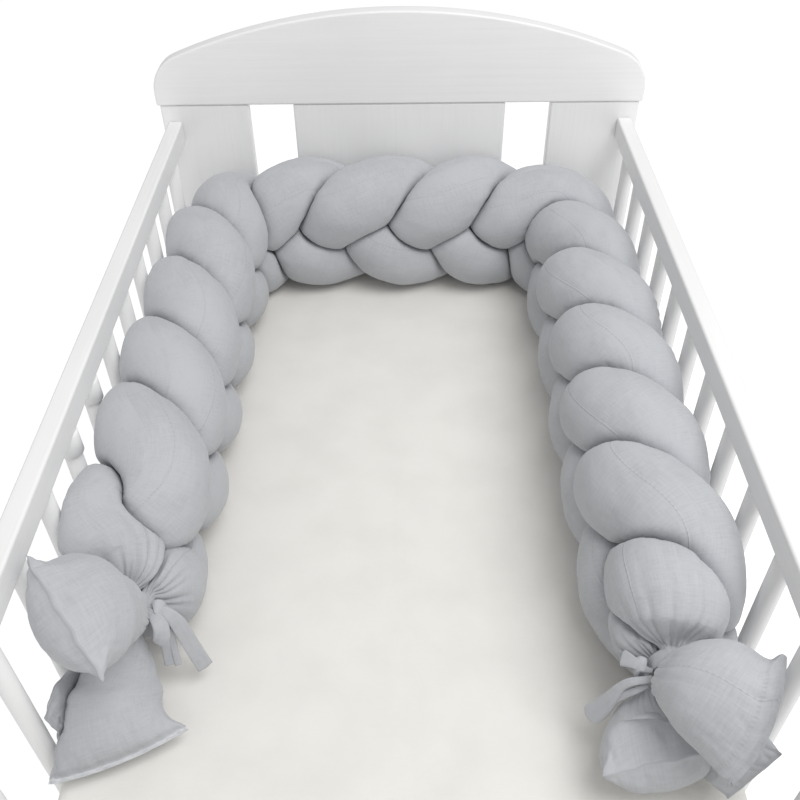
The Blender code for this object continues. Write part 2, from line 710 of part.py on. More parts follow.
def off_tapes(points, sides):
    """Points drawn in where a tie goes round the neck, and kept beside the tie past it.

    The last ring of the neck on each side is both drawn in and beside the tie, so that no
    face from there to the fatter rings cuts the tie's edge.
    """
    rings = points.reshape(-1, sides, 3).copy()
    centre = rings.mean(1)
    inner = NECK_SPREAD + NECK_RADIUS
    for _, *neck in NECKS:
        offset = centre - neck
        near = np.linalg.norm(offset, axis=1) < TIE_REACH
        held = np.flatnonzero(near & (np.abs(offset[:, 1]) < NECK_HALF_LENGTH))
        drawn = rings[held]
        out = drawn[:, :, ::2] - neck[::2]
        far = np.linalg.norm(out, axis=2, keepdims=True)
        drawn[:, :, ::2] = neck[::2] + out * np.minimum(1, inner / far)
        rings[held] = drawn
        past = near.copy()
        past[held[1:-1]] = False
        for sign in (-1, 1):
            free = past & (sign * offset[:, 1] > 0)
            edge = sign * neck[1] + TIE_RING_WIDTH / 2 + REST_GAP
            rings[free, :, 1] = sign * np.maximum(sign * rings[free, :, 1], edge)
    return rings.reshape(-1, 3)


def braid(cloth, fixed):
    skins = settle(press([tube_stations(k) for k in range(3)]), fixed)
    for k, skin in enumerate(skins):
        name = f"tube_{k + 1}"
        add_mesh_object(name, skin_mesh(name, skin), cloth)
    return skins


# ---------------------------------------------------------------- ties


def room_in_tie(skins, neck):
    """Radius that the drawn tubes fill inside a tie, less what its rounded section leaves free."""
    filled = 0.0
    for skin in skins:
        offset = skin.mean(0) - neck
        near = np.linalg.norm(offset, axis=1) < TIE_REACH
        held = near & (np.abs(offset[:, 1]) < NECK_HALF_LENGTH)
        for line in skin[:, held] - neck:
            line = line[np.argsort(line[:, 1])]
            for level in TIE_LEVELS:
                radius = np.interp(level * TIE_RING_WIDTH / 2, line[:, 1],
                                   np.linalg.norm(line[:, ::2], axis=1))
                free = TIE_RING_DEPTH / 2 * (1 - math.sqrt(1 - level**2))
                filled = max(filled, radius - free)
    return filled


def ring_of_tape(name, centre, axis, filled, finish):
    """The strip where it goes round a neck: a flattened torus square to the neck's axis."""
    inner = (filled + CLEARANCE) / math.cos(math.pi / TIE_RING_SIDES)
    bpy.ops.mesh.primitive_torus_add(
        major_segments=TIE_RING_SIDES, minor_segments=6, major_radius=inner + TIE_RING_DEPTH / 2,
        minor_radius=TIE_RING_DEPTH / 2)
    obj = bpy.context.object
    obj.name = obj.data.name = name
    obj.data.transform(Matrix.Diagonal((1.0, 1.0, TIE_RING_WIDTH / TIE_RING_DEPTH, 1.0)))
    obj.data.transform(Vector((0.0, 0.0, 1.0)).rotation_difference(axis).to_matrix().to_4x4())
    obj.data.transform(Matrix.Translation((centre[0], centre[1], centre[2] + MATTRESS_TOP)))
    obj.data.materials.append(finish)
    for collection in obj.users_collection:
        collection.objects.unlink(obj)
    PARTS.objects.link(obj)
    return obj


def knot(name, centre, finish):
    """A small lump of cloth where the strip is knotted."""
    shape = bmesh.new()
    bmesh.ops.create_uvsphere(shape, u_segments=10, v_segments=6, radius=1.0)
    bmesh.ops.scale(shape, vec=KNOT_HALF, verts=shape.verts)
    bmesh.ops.translate(shape, vec=np.add(centre, (0.0, 0.0, MATTRESS_TOP)), verts=shape.verts)
    mesh = bpy.data.meshes.new(name)
    shape.to_mesh(mesh)
    shape.free()
    return joined_piece(name, mesh, finish)


def joined_piece(name, mesh, finish):
    """A piece that a union adds to another, kept in the collection of helpers."""
    mesh.materials.append(finish)
    obj = bpy.data.objects.new(name, mesh)
    obj.hide_render = True
    obj.display_type = "WIRE"
    HELPERS.objects.link(obj)
    return obj


def tape_end(name, points, finish):
    """A free end of the strip, its broad side turned up and towards the foot of the crib."""
    line, _ = even_steps(np.array(points), TIE_FINE_STEPS * TIE_STEPS)
    line = rounded(line, TIE_SMOOTHING)[::TIE_FINE_STEPS]
    along = unit(np.gradient(line, axis=0))
    broad = unit(np.cross(along, (0.0, -1.0, 1.0)))
    thin = unit(np.cross(along, broad))
    skin = np.stack([line + a * TIE_WIDTH / 2 * broad + b * TIE_DEPTH / 2 * thin
                     for a, b in ((1, 1), (-1, 1), (-1, -1), (1, -1))])
    return joined_piece(name, skin_mesh(name, skin), finish)


def tie_pieces(finish):
    """Knot and free ends of each tie, by side."""
    return {side: [knot(f"tie_{side}_knot", shape["knot"], finish)]
            + [tape_end(f"tie_{side}_end_{k + 1}", points, finish)
               for k, points in enumerate(shape["ends"])]
            for side, shape in TIES.items()}


def ties(pieces, skins, finish):
    """Each tie: its strip, drawn tight round the tubes, with its knot and free ends joined on."""
    for side, *neck in NECKS:
        filled = room_in_tie(skins, np.array(neck))
        tie = ring_of_tape(f"tie_{side}", neck, Vector((0.0, 1.0, 0.0)), filled, finish)
        for piece in pieces[side]:
            union = tie.modifiers.new(piece.name, "BOOLEAN")
            union.operation = "UNION"
            union.object = piece


def main():
    painted = material("painted_wood", (0.83, 0.83, 0.83), 0.35)
    cover = material("mattress_cover", (0.80, 0.79, 0.76), 0.85)
    cloth = material("grey_muslin", (0.50, 0.53, 0.55), 0.90)
    crib(painted, cover)
    pieces = tie_pieces(cloth)
    skins = braid(cloth, [search_tree(piece.data) for side in pieces.values() for piece in side])
    ties(pieces, skins, cloth)


main()
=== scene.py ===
"""A braided crib bumper in its crib, dressed: crinkled muslin tubes and ties, white painted wood.

Metres, +Z up, +Y towards the headboard, origin on the floor under the middle of the crib.
"""

import math

import bpy
import numpy as np
from mathutils import Matrix, Vector


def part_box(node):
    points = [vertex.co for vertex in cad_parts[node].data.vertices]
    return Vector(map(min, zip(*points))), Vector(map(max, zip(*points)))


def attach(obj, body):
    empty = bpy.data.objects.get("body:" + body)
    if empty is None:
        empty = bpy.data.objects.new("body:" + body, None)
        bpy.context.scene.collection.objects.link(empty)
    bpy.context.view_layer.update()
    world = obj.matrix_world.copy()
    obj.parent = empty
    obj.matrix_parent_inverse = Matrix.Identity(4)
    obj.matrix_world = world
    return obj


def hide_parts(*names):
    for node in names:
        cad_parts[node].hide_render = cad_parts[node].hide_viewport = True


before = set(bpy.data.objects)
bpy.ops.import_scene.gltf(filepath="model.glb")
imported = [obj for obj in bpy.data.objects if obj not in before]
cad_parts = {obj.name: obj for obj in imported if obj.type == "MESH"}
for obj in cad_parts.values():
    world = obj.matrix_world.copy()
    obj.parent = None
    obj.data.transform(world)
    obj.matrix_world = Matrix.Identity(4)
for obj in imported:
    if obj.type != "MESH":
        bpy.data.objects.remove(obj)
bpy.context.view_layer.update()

# ---------------------------------------------------------------- Camera
# The photograph was taken from above the foot end, looking down the length of the crib, with the
# rails running out of the lower corners of a square frame.
EYE = (0.0066, -0.6081, 1.4368)
LENS_MM = 40.17
SENSOR_MM = 36.0
LOOK_DOWN = math.radians(42.609)
LOOK_LEFT = math.radians(0.531)
HEAD_TILT = math.radians(0.768)

ahead = Vector((-math.cos(LOOK_DOWN) * math.sin(LOOK_LEFT),
                math.cos(LOOK_DOWN) * math.cos(LOOK_LEFT), -math.sin(LOOK_DOWN)))
level = Vector((math.cos(LOOK_LEFT), math.sin(LOOK_LEFT), 0.0))
above = level.cross(ahead)
to_right = level * math.cos(HEAD_TILT) - above * math.sin(HEAD_TILT)
to_top = level * math.sin(HEAD_TILT) + above * math.cos(HEAD_TILT)
camera_data = bpy.data.cameras.new("camera")
camera_data.lens = LENS_MM
camera_data.sensor_width = SENSOR_MM
camera = bpy.data.objects.new("camera", camera_data)
camera.matrix_world = Matrix.Translation(EYE) @ Matrix(
    (to_right, to_top, -ahead)).transposed().to_4x4()
bpy.context.scene.collection.objects.link(camera)
bpy.context.scene.camera = camera

# ---------------------------------------------------------------- Boards and rails
# Planed boards and rails of solid wood with softly rounded edges, sprayed with white satin paint
# through which the grain only just shows.
PAINT = (0.84, 0.84, 0.838, 1.0)
PAINT_IN_PORES = (0.80, 0.80, 0.797, 1.0)
PORES_ACROSS = 260.0
PORES_ALONG = 6.0
PORE_DEPTH = 0.00010
PEEL_SCALE = 420.0
PEEL_DEPTH = 0.00005
SATIN_LEAST = 0.34
SATIN_MOST = 0.46
BOARD_ROUNDING = 0.0030
BOARD_BEVEL_STEPS = 3


def shader_nodes(name):
    """A new material, with its node tree and its Principled shader."""
    made = bpy.data.materials.new(name)
    made.use_nodes = True
    return made, made.node_tree, made.node_tree.nodes["Principled BSDF"]


def link(tree, source, target):
    tree.links.new(source, target)


def colour_between(tree, amount, first, second, low=0.0, high=1.0):
    """A colour that runs from first to second as amount runs from low to high."""
    ramp = tree.nodes.new("ShaderNodeValToRGB")
    for element, place, colour in zip(ramp.color_ramp.elements, (low, high), (first, second)):
        element.position = place
        element.color = colour
    link(tree, amount, ramp.inputs["Fac"])
    return ramp.outputs["Color"]


def bump(tree, height, depth, strength, below=None):
    """The normal of a relief of that depth in metres, laid on another normal where one is given."""
    node = tree.nodes.new("ShaderNodeBump")
    node.inputs["Distance"].default_value = depth
    node.inputs["Strength"].default_value = strength
    link(tree, height, node.inputs["Height"])
    if below is not None:
        link(tree, below, node.inputs["Normal"])
    return node.outputs["Normal"]


def noise(tree, place, scale, detail=3.0, roughness=0.5):
    """Noise round a half, with so many cells to a metre, or so many along each axis."""
    if isinstance(scale, tuple):
        mapping = tree.nodes.new("ShaderNodeMapping")
        mapping.inputs["Scale"].default_value = scale
        link(tree, place, mapping.inputs["Vector"])
        place, scale = mapping.outputs["Vector"], 1.0
    node = tree.nodes.new("ShaderNodeTexNoise")
    for key, value in (("Scale", scale), ("Detail", detail), ("Roughness", roughness)):
        node.inputs[key].default_value = value
    link(tree, place, node.inputs["Vector"])
    return node.outputs["Fac"]


def maths(tree, operation, *values):
    """A Math node of that operation on sockets or plain numbers; gives its result."""
    node = tree.nodes.new("ShaderNodeMath")
    node.operation = operation
    for socket, value in zip(node.inputs, values):
        if isinstance(value, bpy.types.NodeSocket):
            link(tree, value, socket)
        else:
            socket.default_value = value
    return node.outputs["Value"]


def painted_wood(name, grain):
    """White satin paint over wood whose grain runs along one axis: 0, 1 or 2 for X, Y or Z."""
    made, tree, shader = shader_nodes(name)
    place = tree.nodes.new("ShaderNodeTexCoord").outputs["Object"]
    fineness = tuple(PORES_ALONG if axis == grain else PORES_ACROSS for axis in range(3))
    pores = noise(tree, place, fineness, 4.0, 0.6)
    cloudy = noise(tree, place, 5.0, 2.0)
    covered = maths(tree, "MULTIPLY", pores, cloudy)
    link(tree, colour_between(tree, covered, PAINT_IN_PORES, PAINT, 0.08, 0.30),
         shader.inputs["Base Color"])
    grain_relief = bump(tree, pores, PORE_DEPTH, 0.35)
    orange_peel = noise(tree, place, PEEL_SCALE, 1.0)
    link(tree, bump(tree, orange_peel, PEEL_DEPTH, 0.25, grain_relief), shader.inputs["Normal"])
    link(tree, maths(tree, "MULTIPLY_ADD", cloudy, SATIN_MOST - SATIN_LEAST, SATIN_LEAST),
         shader.inputs["Roughness"])
    shader.inputs["Specular IOR Level"].default_value = 0.42
    return made


WOOD = [painted_wood(f"painted_wood_{axis}", k) for k, axis in enumerate("xyz")]


def mesh_piece(name, points, faces, finish, smooth=True):
    """A new object at the origin from points and faces, with its material."""
    mesh = bpy.data.meshes.new(name)
    mesh.from_pydata(np.asarray(points).reshape(-1, 3).tolist(), [], [list(f) for f in faces])
    mesh.update()
    mesh.materials.append(finish)
    if smooth:
        mesh.shade_smooth()
    piece = bpy.data.objects.new(name, mesh)
    bpy.context.scene.collection.objects.link(piece)
    return piece


def seat(piece, slot, *nodes):
    """Rides on the crib and stands for those CAD nodes, which it hides; slot is not used."""
    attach(piece, "root")
    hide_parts(*nodes)


def rounded_edges(piece, rounding, steps):
    """Edges rounded by a Bevel, and flat faces kept flat by weighted normals."""
    bevel = piece.modifiers.new("rounded_edges", "BEVEL")
    bevel.width = rounding
    bevel.segments = steps
    bevel.limit_method = "ANGLE"
    bevel.angle_limit = math.radians(40)
    weighted = piece.modifiers.new("flat_faces", "WEIGHTED_NORMAL")
    weighted.keep_sharp = True


BOX_FACES = ((0, 1, 3, 2), (4, 6, 7, 5), (0, 4, 5, 1), (2, 3, 7, 6), (0, 2, 6, 4), (1, 5, 7, 3))


def corners(node):
    """The lowest and the highest corner of a CAD node's box."""
    return [np.array(corner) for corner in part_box(node)]


def board(node, grain):
    """The box that a CAD node fills, with finely rounded edges."""
    low, high = corners(node)
    pick = np.array([[(k >> 2) & 1, (k >> 1) & 1, k & 1] for k in range(8)])
    piece = mesh_piece(f"{node}_finished", low + pick * (high - low), BOX_FACES, WOOD[grain])
    rounded_edges(piece, BOARD_ROUNDING, BOARD_BEVEL_STEPS)
    seat(piece, "painted_wood", node)


BOARDS = {
    0: ("head_cross_board", "foot_cross_board", "foot_top_board", "ledge_head", "ledge_foot"),
    1: ("rail_top_left", "rail_top_right", "rail_low_left", "rail_low_right", "mattress_base"),
    2: ("head_corner_board_left", "head_corner_board_right", "head_middle_board",
        "foot_corner_board_left", "foot_corner_board_right", "foot_middle_board"),
}
for board_grain, board_nodes in BOARDS.items():
    for board_node in board_nodes:
        board(board_node, board_grain)

# ---------------------------------------------------------------- Head arch
# The board that caps the head end: straight below, with round shoulders and one long curved top,
# cut from wide stock and painted like the rest.
ARCH_RADIUS = 0.840
SHOULDER_RADIUS = 0.055
SHOULDER_STEPS = 14
CURVE_STEPS = 40


def loft(rows, columns, closed_ends=True):
    """Quads of a grid of rows, each a closed loop of columns, and a face across either end. They
    face outwards where the loops turn right-handed about the way from row to row."""
    index = np.arange(rows * columns).reshape(rows, columns)
    onward = np.roll(index, -1, axis=1)
    quads = np.stack([index[:-1], onward[:-1], onward[1:], index[1:]], 2).reshape(-1, 4)
    return list(quads) + ([index[0][::-1], index[-1]] if closed_ends else [])


arch_low, arch_high = corners("head_arch")
arch_half = arch_high[0]
arch_centre_z = arch_high[2] - ARCH_RADIUS
shoulder_x = arch_half - SHOULDER_RADIUS
shoulder_z = arch_centre_z + math.sqrt((ARCH_RADIUS - SHOULDER_RADIUS) ** 2 - shoulder_x**2)
lean = math.atan2(shoulder_z - arch_centre_z, shoulder_x)
turn = np.linspace(0.0, lean, SHOULDER_STEPS)[:-1]
sweep = np.linspace(lean, math.pi / 2, CURVE_STEPS)
half_outline = np.concatenate([
    [(arch_half, arch_low[2])],
    np.stack([shoulder_x + SHOULDER_RADIUS * np.cos(turn),
              shoulder_z + SHOULDER_RADIUS * np.sin(turn)], 1),
    np.stack([ARCH_RADIUS * np.cos(sweep), arch_centre_z + ARCH_RADIUS * np.sin(sweep)], 1),
])
outline = np.concatenate([half_outline, half_outline[-2::-1] * (-1.0, 1.0)])
arch_points = [np.insert(outline, 1, face_y, axis=1) for face_y in (arch_high[1], arch_low[1])]
arch = mesh_piece("head_arch_finished", arch_points, loft(2, len(outline)), WOOD[0])
rounded_edges(arch, BOARD_ROUNDING, BOARD_BEVEL_STEPS)
seat(arch, "painted_wood", "head_arch")

# ---------------------------------------------------------------- Slats
# Turned round rods between the low and the top rail of each side, with two plain sleeves at the
# top of the pair that lifts out.
ROD_SIDES = 28
ROD_EASE = 0.0006


def round_steps(count):
    """Angles at even steps round a full turn."""
    return 2 * np.pi * np.arange(count) / count


def rods(name, nodes, finish):
    """Upright rods in one mesh: each a circle carried up a profile that eases at its ends."""
    angle = round_steps(ROD_SIDES)
    points, faces = [], []
    for node in nodes:
        low, high = corners(node)
        middle = (low + high) / 2
        radius = (high[1] - low[1]) / 2
        radii = np.array([radius - ROD_EASE, radius, radius, radius - ROD_EASE])
        heights = np.array([low[2], low[2] + ROD_EASE, high[2] - ROD_EASE, high[2]])
        before = len(points) * len(radii) * ROD_SIDES
        faces += [face + before for face in loft(len(radii), ROD_SIDES)]
        points.append(np.stack([
            middle[0] + radii[:, None] * np.cos(angle),
            middle[1] + radii[:, None] * np.sin(angle),
            np.repeat(heights[:, None], ROD_SIDES, 1)], 2))
    piece = mesh_piece(name, points, faces, finish)
    piece.data.set_sharp_from_angle(angle=math.radians(50))
    seat(piece, "painted_wood", *nodes)


for slat_side in ("left", "right"):
    rods(f"slats_{slat_side}", [f"slat_{slat_side}_{k:02d}" for k in range(1, 16)], WOOD[2])
rods("slat_sleeves", ["slat_sleeve_08", "slat_sleeve_09"], WOOD[2])

# ---------------------------------------------------------------- Mattress
# A block of foam in a zipless cream cotton cover: a top and a bottom panel and a border between
# them, sewn together with a thin piping, pulled a little uneven by the foam.
COVER = (0.80, 0.785, 0.75, 1.0)
COVER_SHADE = (0.76, 0.745, 0.71, 1.0)
MATTRESS_CORNER = 0.045
MATTRESS_EDGE = 0.012
PIPING = 0.0026
PIPING_INSET = 0.0016
PIPING_STEPS = 7
COVER_STEPS_ALONG = 110
COVER_STEPS_CORNER = 10
COVER_RINGS = 46
BORDER_STEPS = 16
BORDER_INSET = 0.0036
BORDER_BULGE = 0.0024
THREADS = 1400.0
THREAD_RUN = 90.0
THREAD_DEPTH = 0.00018
PULL_DEPTH = 0.0030
COVER_DIP = 0.0011
DIP_EASE = 0.06


def cotton_cover(name):
    """Plain woven cream cotton: fine threads both ways under soft pulls of the cloth."""
    made, tree, shader = shader_nodes(name)
    place = tree.nodes.new("ShaderNodeTexCoord").outputs["Object"]
    patches = noise(tree, place, 14.0, 3.0)
    link(tree, colour_between(tree, patches, COVER_SHADE, COVER, 0.30, 0.60),
         shader.inputs["Base Color"])
    warp = noise(tree, place, (THREADS, THREAD_RUN, THREADS), 2.0)
    weft = noise(tree, place, (THREAD_RUN, THREADS, THREAD_RUN), 2.0)
    pulls = noise(tree, place, (9.0, 24.0, 9.0), 4.0)
    relief = bump(tree, weft, THREAD_DEPTH, 0.5, bump(tree, warp, THREAD_DEPTH, 0.5))
    link(tree, bump(tree, pulls, PULL_DEPTH, 0.30, relief), shader.inputs["Normal"])
    shader.inputs["Roughness"].default_value = 0.88
    shader.inputs["Sheen Weight"].default_value = 0.15
    shader.inputs["Specular IOR Level"].default_value = 0.25
    return made


def rounded_rectangle(half_x, half_y, corner):
    """Points round a rectangle with round corners, the same number for every size of it: at each
    corner a quarter turn, then even steps on to where the next corner's turn starts."""
    signs = np.array([(1, 1), (-1, 1), (-1, -1), (1, -1)])[:, None]
    bend = (np.linspace(0, np.pi / 2, COVER_STEPS_CORNER)
            + np.pi / 2 * np.arange(4)[:, None])
    arcs = (signs * (half_x - corner, half_y - corner)
            + corner * np.stack([np.cos(bend), np.sin(bend)], 2))
    steps = np.linspace(0, 1, COVER_STEPS_ALONG)[1:-1, None]
    straight = arcs[:, -1:] + (np.roll(arcs[:, :1], -1, axis=0) - arcs[:, -1:]) * steps
    return np.concatenate([arcs, straight], axis=1).reshape(-1, 2)


def mattress_cover():
    """A profile of insets and heights, from under the mattress, round two pipings and over its
    top, carried round."""
    low, high = corners("mattress")
    half = (high - low) / 2
    middle = (low + high) / 2
    top, base = high[2], low[2]
    bend = np.linspace(np.pi / 2, 0, PIPING_STEPS)
    edge = MATTRESS_EDGE
    insets = np.r_[np.geomspace(half[0] * 0.98, edge * 1.2, COVER_RINGS),
                   edge - edge * np.cos(bend)]
    heights = np.r_[np.zeros(COVER_RINGS), edge * np.sin(bend) - edge]
    cord = np.linspace(np.pi * 0.75, -np.pi * 0.75, PIPING_STEPS)
    cord_inset = PIPING_INSET - PIPING * np.cos(cord) + PIPING
    cord_height = -edge - PIPING + PIPING * np.sin(cord)
    upper = np.stack([np.r_[insets, cord_inset], np.r_[heights, cord_height]], 1)
    side = np.linspace(0, 1, BORDER_STEPS)[1:-1]
    border_top = cord_height[-1]
    depth = top - base
    border = np.stack([BORDER_INSET - BORDER_BULGE * np.sin(np.pi * side),
                       border_top + (-depth - 2 * border_top) * side], 1)
    lower = upper[::-1] * (1, -1) - (0, depth)
    profile = np.concatenate([upper, border, lower])
    rows = []
    for inset, height in profile[::-1]:
        outline = rounded_rectangle(half[0] - inset, half[1] - inset,
                                    max(MATTRESS_CORNER - inset, 0.002 + 0.1 * (half[0] - inset)))
        rows.append(np.column_stack([outline + middle[:2], np.full(len(outline), top + height)]))
    points = np.array(rows)
    x, y = points[:, :, 0], points[:, :, 1]
    far_in = (np.clip((half[0] - np.abs(x - middle[0])) / DIP_EASE, 0, 1)
              * np.clip((half[1] - np.abs(y - middle[1])) / DIP_EASE, 0, 1))
    dip = (np.sin(9.1 * x + 2.2 * np.sin(5.0 * y)) + np.sin(11.3 * y + 1.7 + 3.0 * x)
           + 0.6 * np.sin(31.0 * x + 17.0 * y)) / 2.6
    upside = points[:, :, 2] > (top + base) / 2
    points[:, :, 2] -= np.where(upside, 1, -1) * far_in * COVER_DIP * (1 + dip)
    return points


cover_points = mattress_cover()
mattress = mesh_piece("mattress_cover", cover_points, loft(*cover_points.shape[:2]),
                      cotton_cover("cream_cotton"))
seat(mattress, "mattress_cover", "mattress")

# ---------------------------------------------------------------- Braided tubes
# Three long bags of crinkled double muslin, each closed by a flat seam at both ends and one long
# seam along its side, stuffed with loose fibre and plaited like hair. The plait stands on the
# mattress against the slats and the head end, drawn together by a tie at each end.
HALF_LENGTH = 0.600
SLAT_FACE = 0.311
MATTRESS_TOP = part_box("mattress")[1].z
HEAD_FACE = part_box("head_arch")[0].y

# The plait: a free tube's radius, how far the tubes swing up and down and in and out, where the
# plait's middle runs, and how the tubes draw together into the necks under the ties.
TUBE_RADIUS = 0.0465
SWING_UP = 0.0450
SWING_IN = 0.0190
BRAID_MIDDLE = 0.0920
BRAID_OFFSET = 0.062
CORNER_RADIUS = 0.080
NECK_RADIUS = 0.0099
NECK_SPREAD = 0.0106
NECK_SWELL = 0.050
NECK_HALF_LENGTH = 0.0100
NECK_STRAIGHT = 0.0110
NECK_TAPER = 0.075
NECKS = {
    # side: x, y, height above the mattress
    "left": (-0.246, -0.138, 0.100),
    "right": (0.232, -0.202, 0.100),
}

# Dips between the upper lobes. Each row: distance along the braid from the left tie, how much
# higher the braid runs there, and how much nearer to the middle of the crib.
DIPS = (
    (-0.060, 0.000, -0.004),
    (0.108, 0.000, -0.008),
    (0.222, 0.000, -0.010),
    (0.334, 0.000, -0.010),
    (0.458, 0.000, -0.008),
    (0.585, -0.004, -0.004),
    (0.679, -0.014, 0.000),
    (0.797, 0.000, 0.003),
    (0.926, -0.004, 0.003),
    (1.036, -0.004, 0.003),
    (1.163, -0.020, 0.002),
    (1.303, -0.007, 0.004),
    (1.430, 0.000, 0.004),
    (1.541, 0.000, 0.006),
    (1.650, 0.000, 0.006),
    (1.770, 0.000, 0.004),
)

# Where one tube lies off that rule. Each row: tube, distance from the left tie, over what length
# either way, how much nearer to the middle of the crib, and how much higher.
NUDGES = (
    (0, 0.050, 0.050, -0.022, -0.006),
    (1, 0.042, 0.045, -0.020, 0.014),
    (1, 0.022, 0.028, -0.050, 0.030),
    (0, 0.022, 0.028, 0.000, -0.022),
    (2, 0.045, 0.035, -0.008, -0.006),
    (0, 1.775, 0.040, -0.008, 0.004),
    (1, 1.795, 0.030, -0.010, -0.006),
)

# Loose ends past the ties. Each row: two points that the middle passes, the middle of the end
# seam, half of that seam as a vector, half width and half depth of the fat part, how far the seam
# bows out, how fast the end fattens, how far inside the edge its stitching runs, and what share of
# its width is left before the corners flare.
LOOSE_ENDS = {
    ("left", 2): ((-0.257, -0.160, 0.130), (-0.267, -0.182, 0.155), (-0.2633, -0.2077, 0.1874),
                  (-0.0343, 0.0393, 0.0284), 0.051, 0.044, 0.002, 0.7, 0.0022, 0.84),
    ("left", 1): ((-0.256, -0.158, 0.068), (-0.273, -0.190, 0.043), (-0.2535, -0.241, 0.018),
                  (-0.0565, -0.024, -0.001), 0.051, 0.036, 0.006, 0.8, 0.0050, 0.86),
    ("left", 0): ((-0.272, -0.160, 0.066), (-0.298, -0.192, 0.050), (-0.301, -0.230, 0.044),
                  (-0.001, -0.004, 0.034), 0.030, 0.010, 0.000, 1.0, 0.0030, 1.04),
    ("right", 0): ((0.240, -0.221, 0.120), (0.255, -0.243, 0.128), (0.2730, -0.2684, 0.1209),
                   (0.0238, 0.0298, 0.0436), 0.049, 0.048, 0.016, 0.34, 0.0100, 0.98),
    ("right", 2): ((0.226, -0.224, 0.064), (0.220, -0.250, 0.046), (0.2125, -0.2735, 0.071),
                   (0.048, 0.006, 0.010), 0.048, 0.046, -0.006, 1.1, 0.0018, 0.97),
    ("right", 1): ((0.250, -0.218, 0.066), (0.273, -0.242, 0.050), (0.292, -0.277, 0.056),
                   (0.016, 0.005, 0.030), 0.036, 0.030, 0.000, 0.9, 0.0030, 0.96),
}

# The end seams: half their thickness and the flat part outside the stitching. A loose end is
# fattest at that share of its length, its corners flare with that power, and its seam's
# direction is reached at that share.
SEAM_HALF = 0.0012
SEAM_FIN = 0.0050
FATTEST = 0.50
EAR_POWER = 5.5
TURN_DONE = 0.60

# Passes of smoothing for the plait, a loose end, their join, the tubes' directions over even
# steps, and those directions near a tie; and how much closer together the rings lie near ties
# and seams.
BRAID_SMOOTHING = 160
END_SMOOTHING = 40
JOIN_SMOOTHING = 6
WAY_SMOOTHING = 80
TIE_SMOOTHING = 8
EVEN_STEP = 0.0025
TIE_STRAIGHT = 0.014
CLOSER_WITHIN = 0.030
CLOSER_BY = 3.0

# The skins: rings along a tube and points round it, how the tubes press on each other and on the
# crib, and the strip that holds each neck.
RINGS = 800
AROUND = 124
PRESS_ROUNDS = 3
HALVINGS = 9
SLICES_LOOKED_AT = 16
FIELD_EVERY = 3
TUBE_OVERLAP_SHARE = 0.008
MOST_BULGE = 1.12
BULGE_SMOOTHING = 6
SQUARENESS = 7.0
LEAST_REACH = 0.002
FAR = 1.0
SKIN_SMOOTHING = 3
BEND_SMOOTHING = 80
BEND_FROM = 0.010
BEND_TO = 0.080
BEND_EASE = 0.010
EDGE_EASE = 0.002
REST_GAP = 0.0006
TIE_WIDTH = 0.0125
TIE_BAND = 0.0100
TIE_REACH = 0.060


def smoothstep(x):
    t = np.clip(x, 0.0, 1.0)
    return t * t * (3 - 2 * t)


def hill(distance, width):
    """A bell curve: 1 at distance 0, falling away over that width."""
    return np.exp(-((distance / width) ** 2))


def unit(vectors):
    return vectors / np.linalg.norm(vectors, axis=-1, keepdims=True)


def distances(points):
    """Distance along a polyline up to each of its points."""
    return np.r_[0.0, np.cumsum(np.linalg.norm(np.diff(points, axis=0), axis=1))]


def read_at(steps, run, values):
    """Each column of values, read at steps along run."""
    return np.stack([np.interp(steps, run, column) for column in np.asarray(values).T], 1)


def even_steps(points, count):
    """count points at even distances along a polyline, with the distances."""
    run = distances(points)
    steps = np.linspace(0.0, run[-1], count)
    return read_at(steps, run, points), steps


def rounded(points, passes):
    """A polyline, or a row of values, whose inner points move, again and again, to the mean of
    themselves and their two neighbours."""
    points = np.array(points, float)
    for _ in range(passes):
        points[1:-1] = (points[:-2] + points[1:-1] + points[2:]) / 3
    return points


def braid_line(step=0.002):
    """The U that the plait's middle follows in plan, from the left tie round to the right one."""
    x, y, r = SLAT_FACE - BRAID_OFFSET, HALF_LENGTH - BRAID_OFFSET, CORNER_RADIUS
    left, right = np.radians(np.linspace(180, 90, 40)), np.radians(np.linspace(90, 0, 40))
    points = np.concatenate([
        [(-x, NECKS["left"][1])],
        np.stack([-x + r + r * np.cos(left), y - r + r * np.sin(left)], 1),
        np.stack([x - r + r * np.cos(right), y - r + r * np.sin(right)], 1),
        [(x, NECKS["right"][1])],
    ])
    return even_steps(points, int(distances(points)[-1] / step))


def along_dips(run, column):
    rows = np.array(DIPS)
    return rounded(np.interp(run, rows[:, 0], rows[:, column]), BRAID_SMOOTHING)


def lobe_number(run):
    """A count that grows by one from each upper lobe of the plait to the next."""
    dips = np.array(DIPS)[:, 0]
    knots = np.r_[2 * dips[0] - dips[1], dips, 2 * dips[-1] - dips[-2]]
    counted = np.interp(run, knots, np.arange(-1, len(dips) + 1)) - 0.5
    return rounded(counted, BRAID_SMOOTHING)


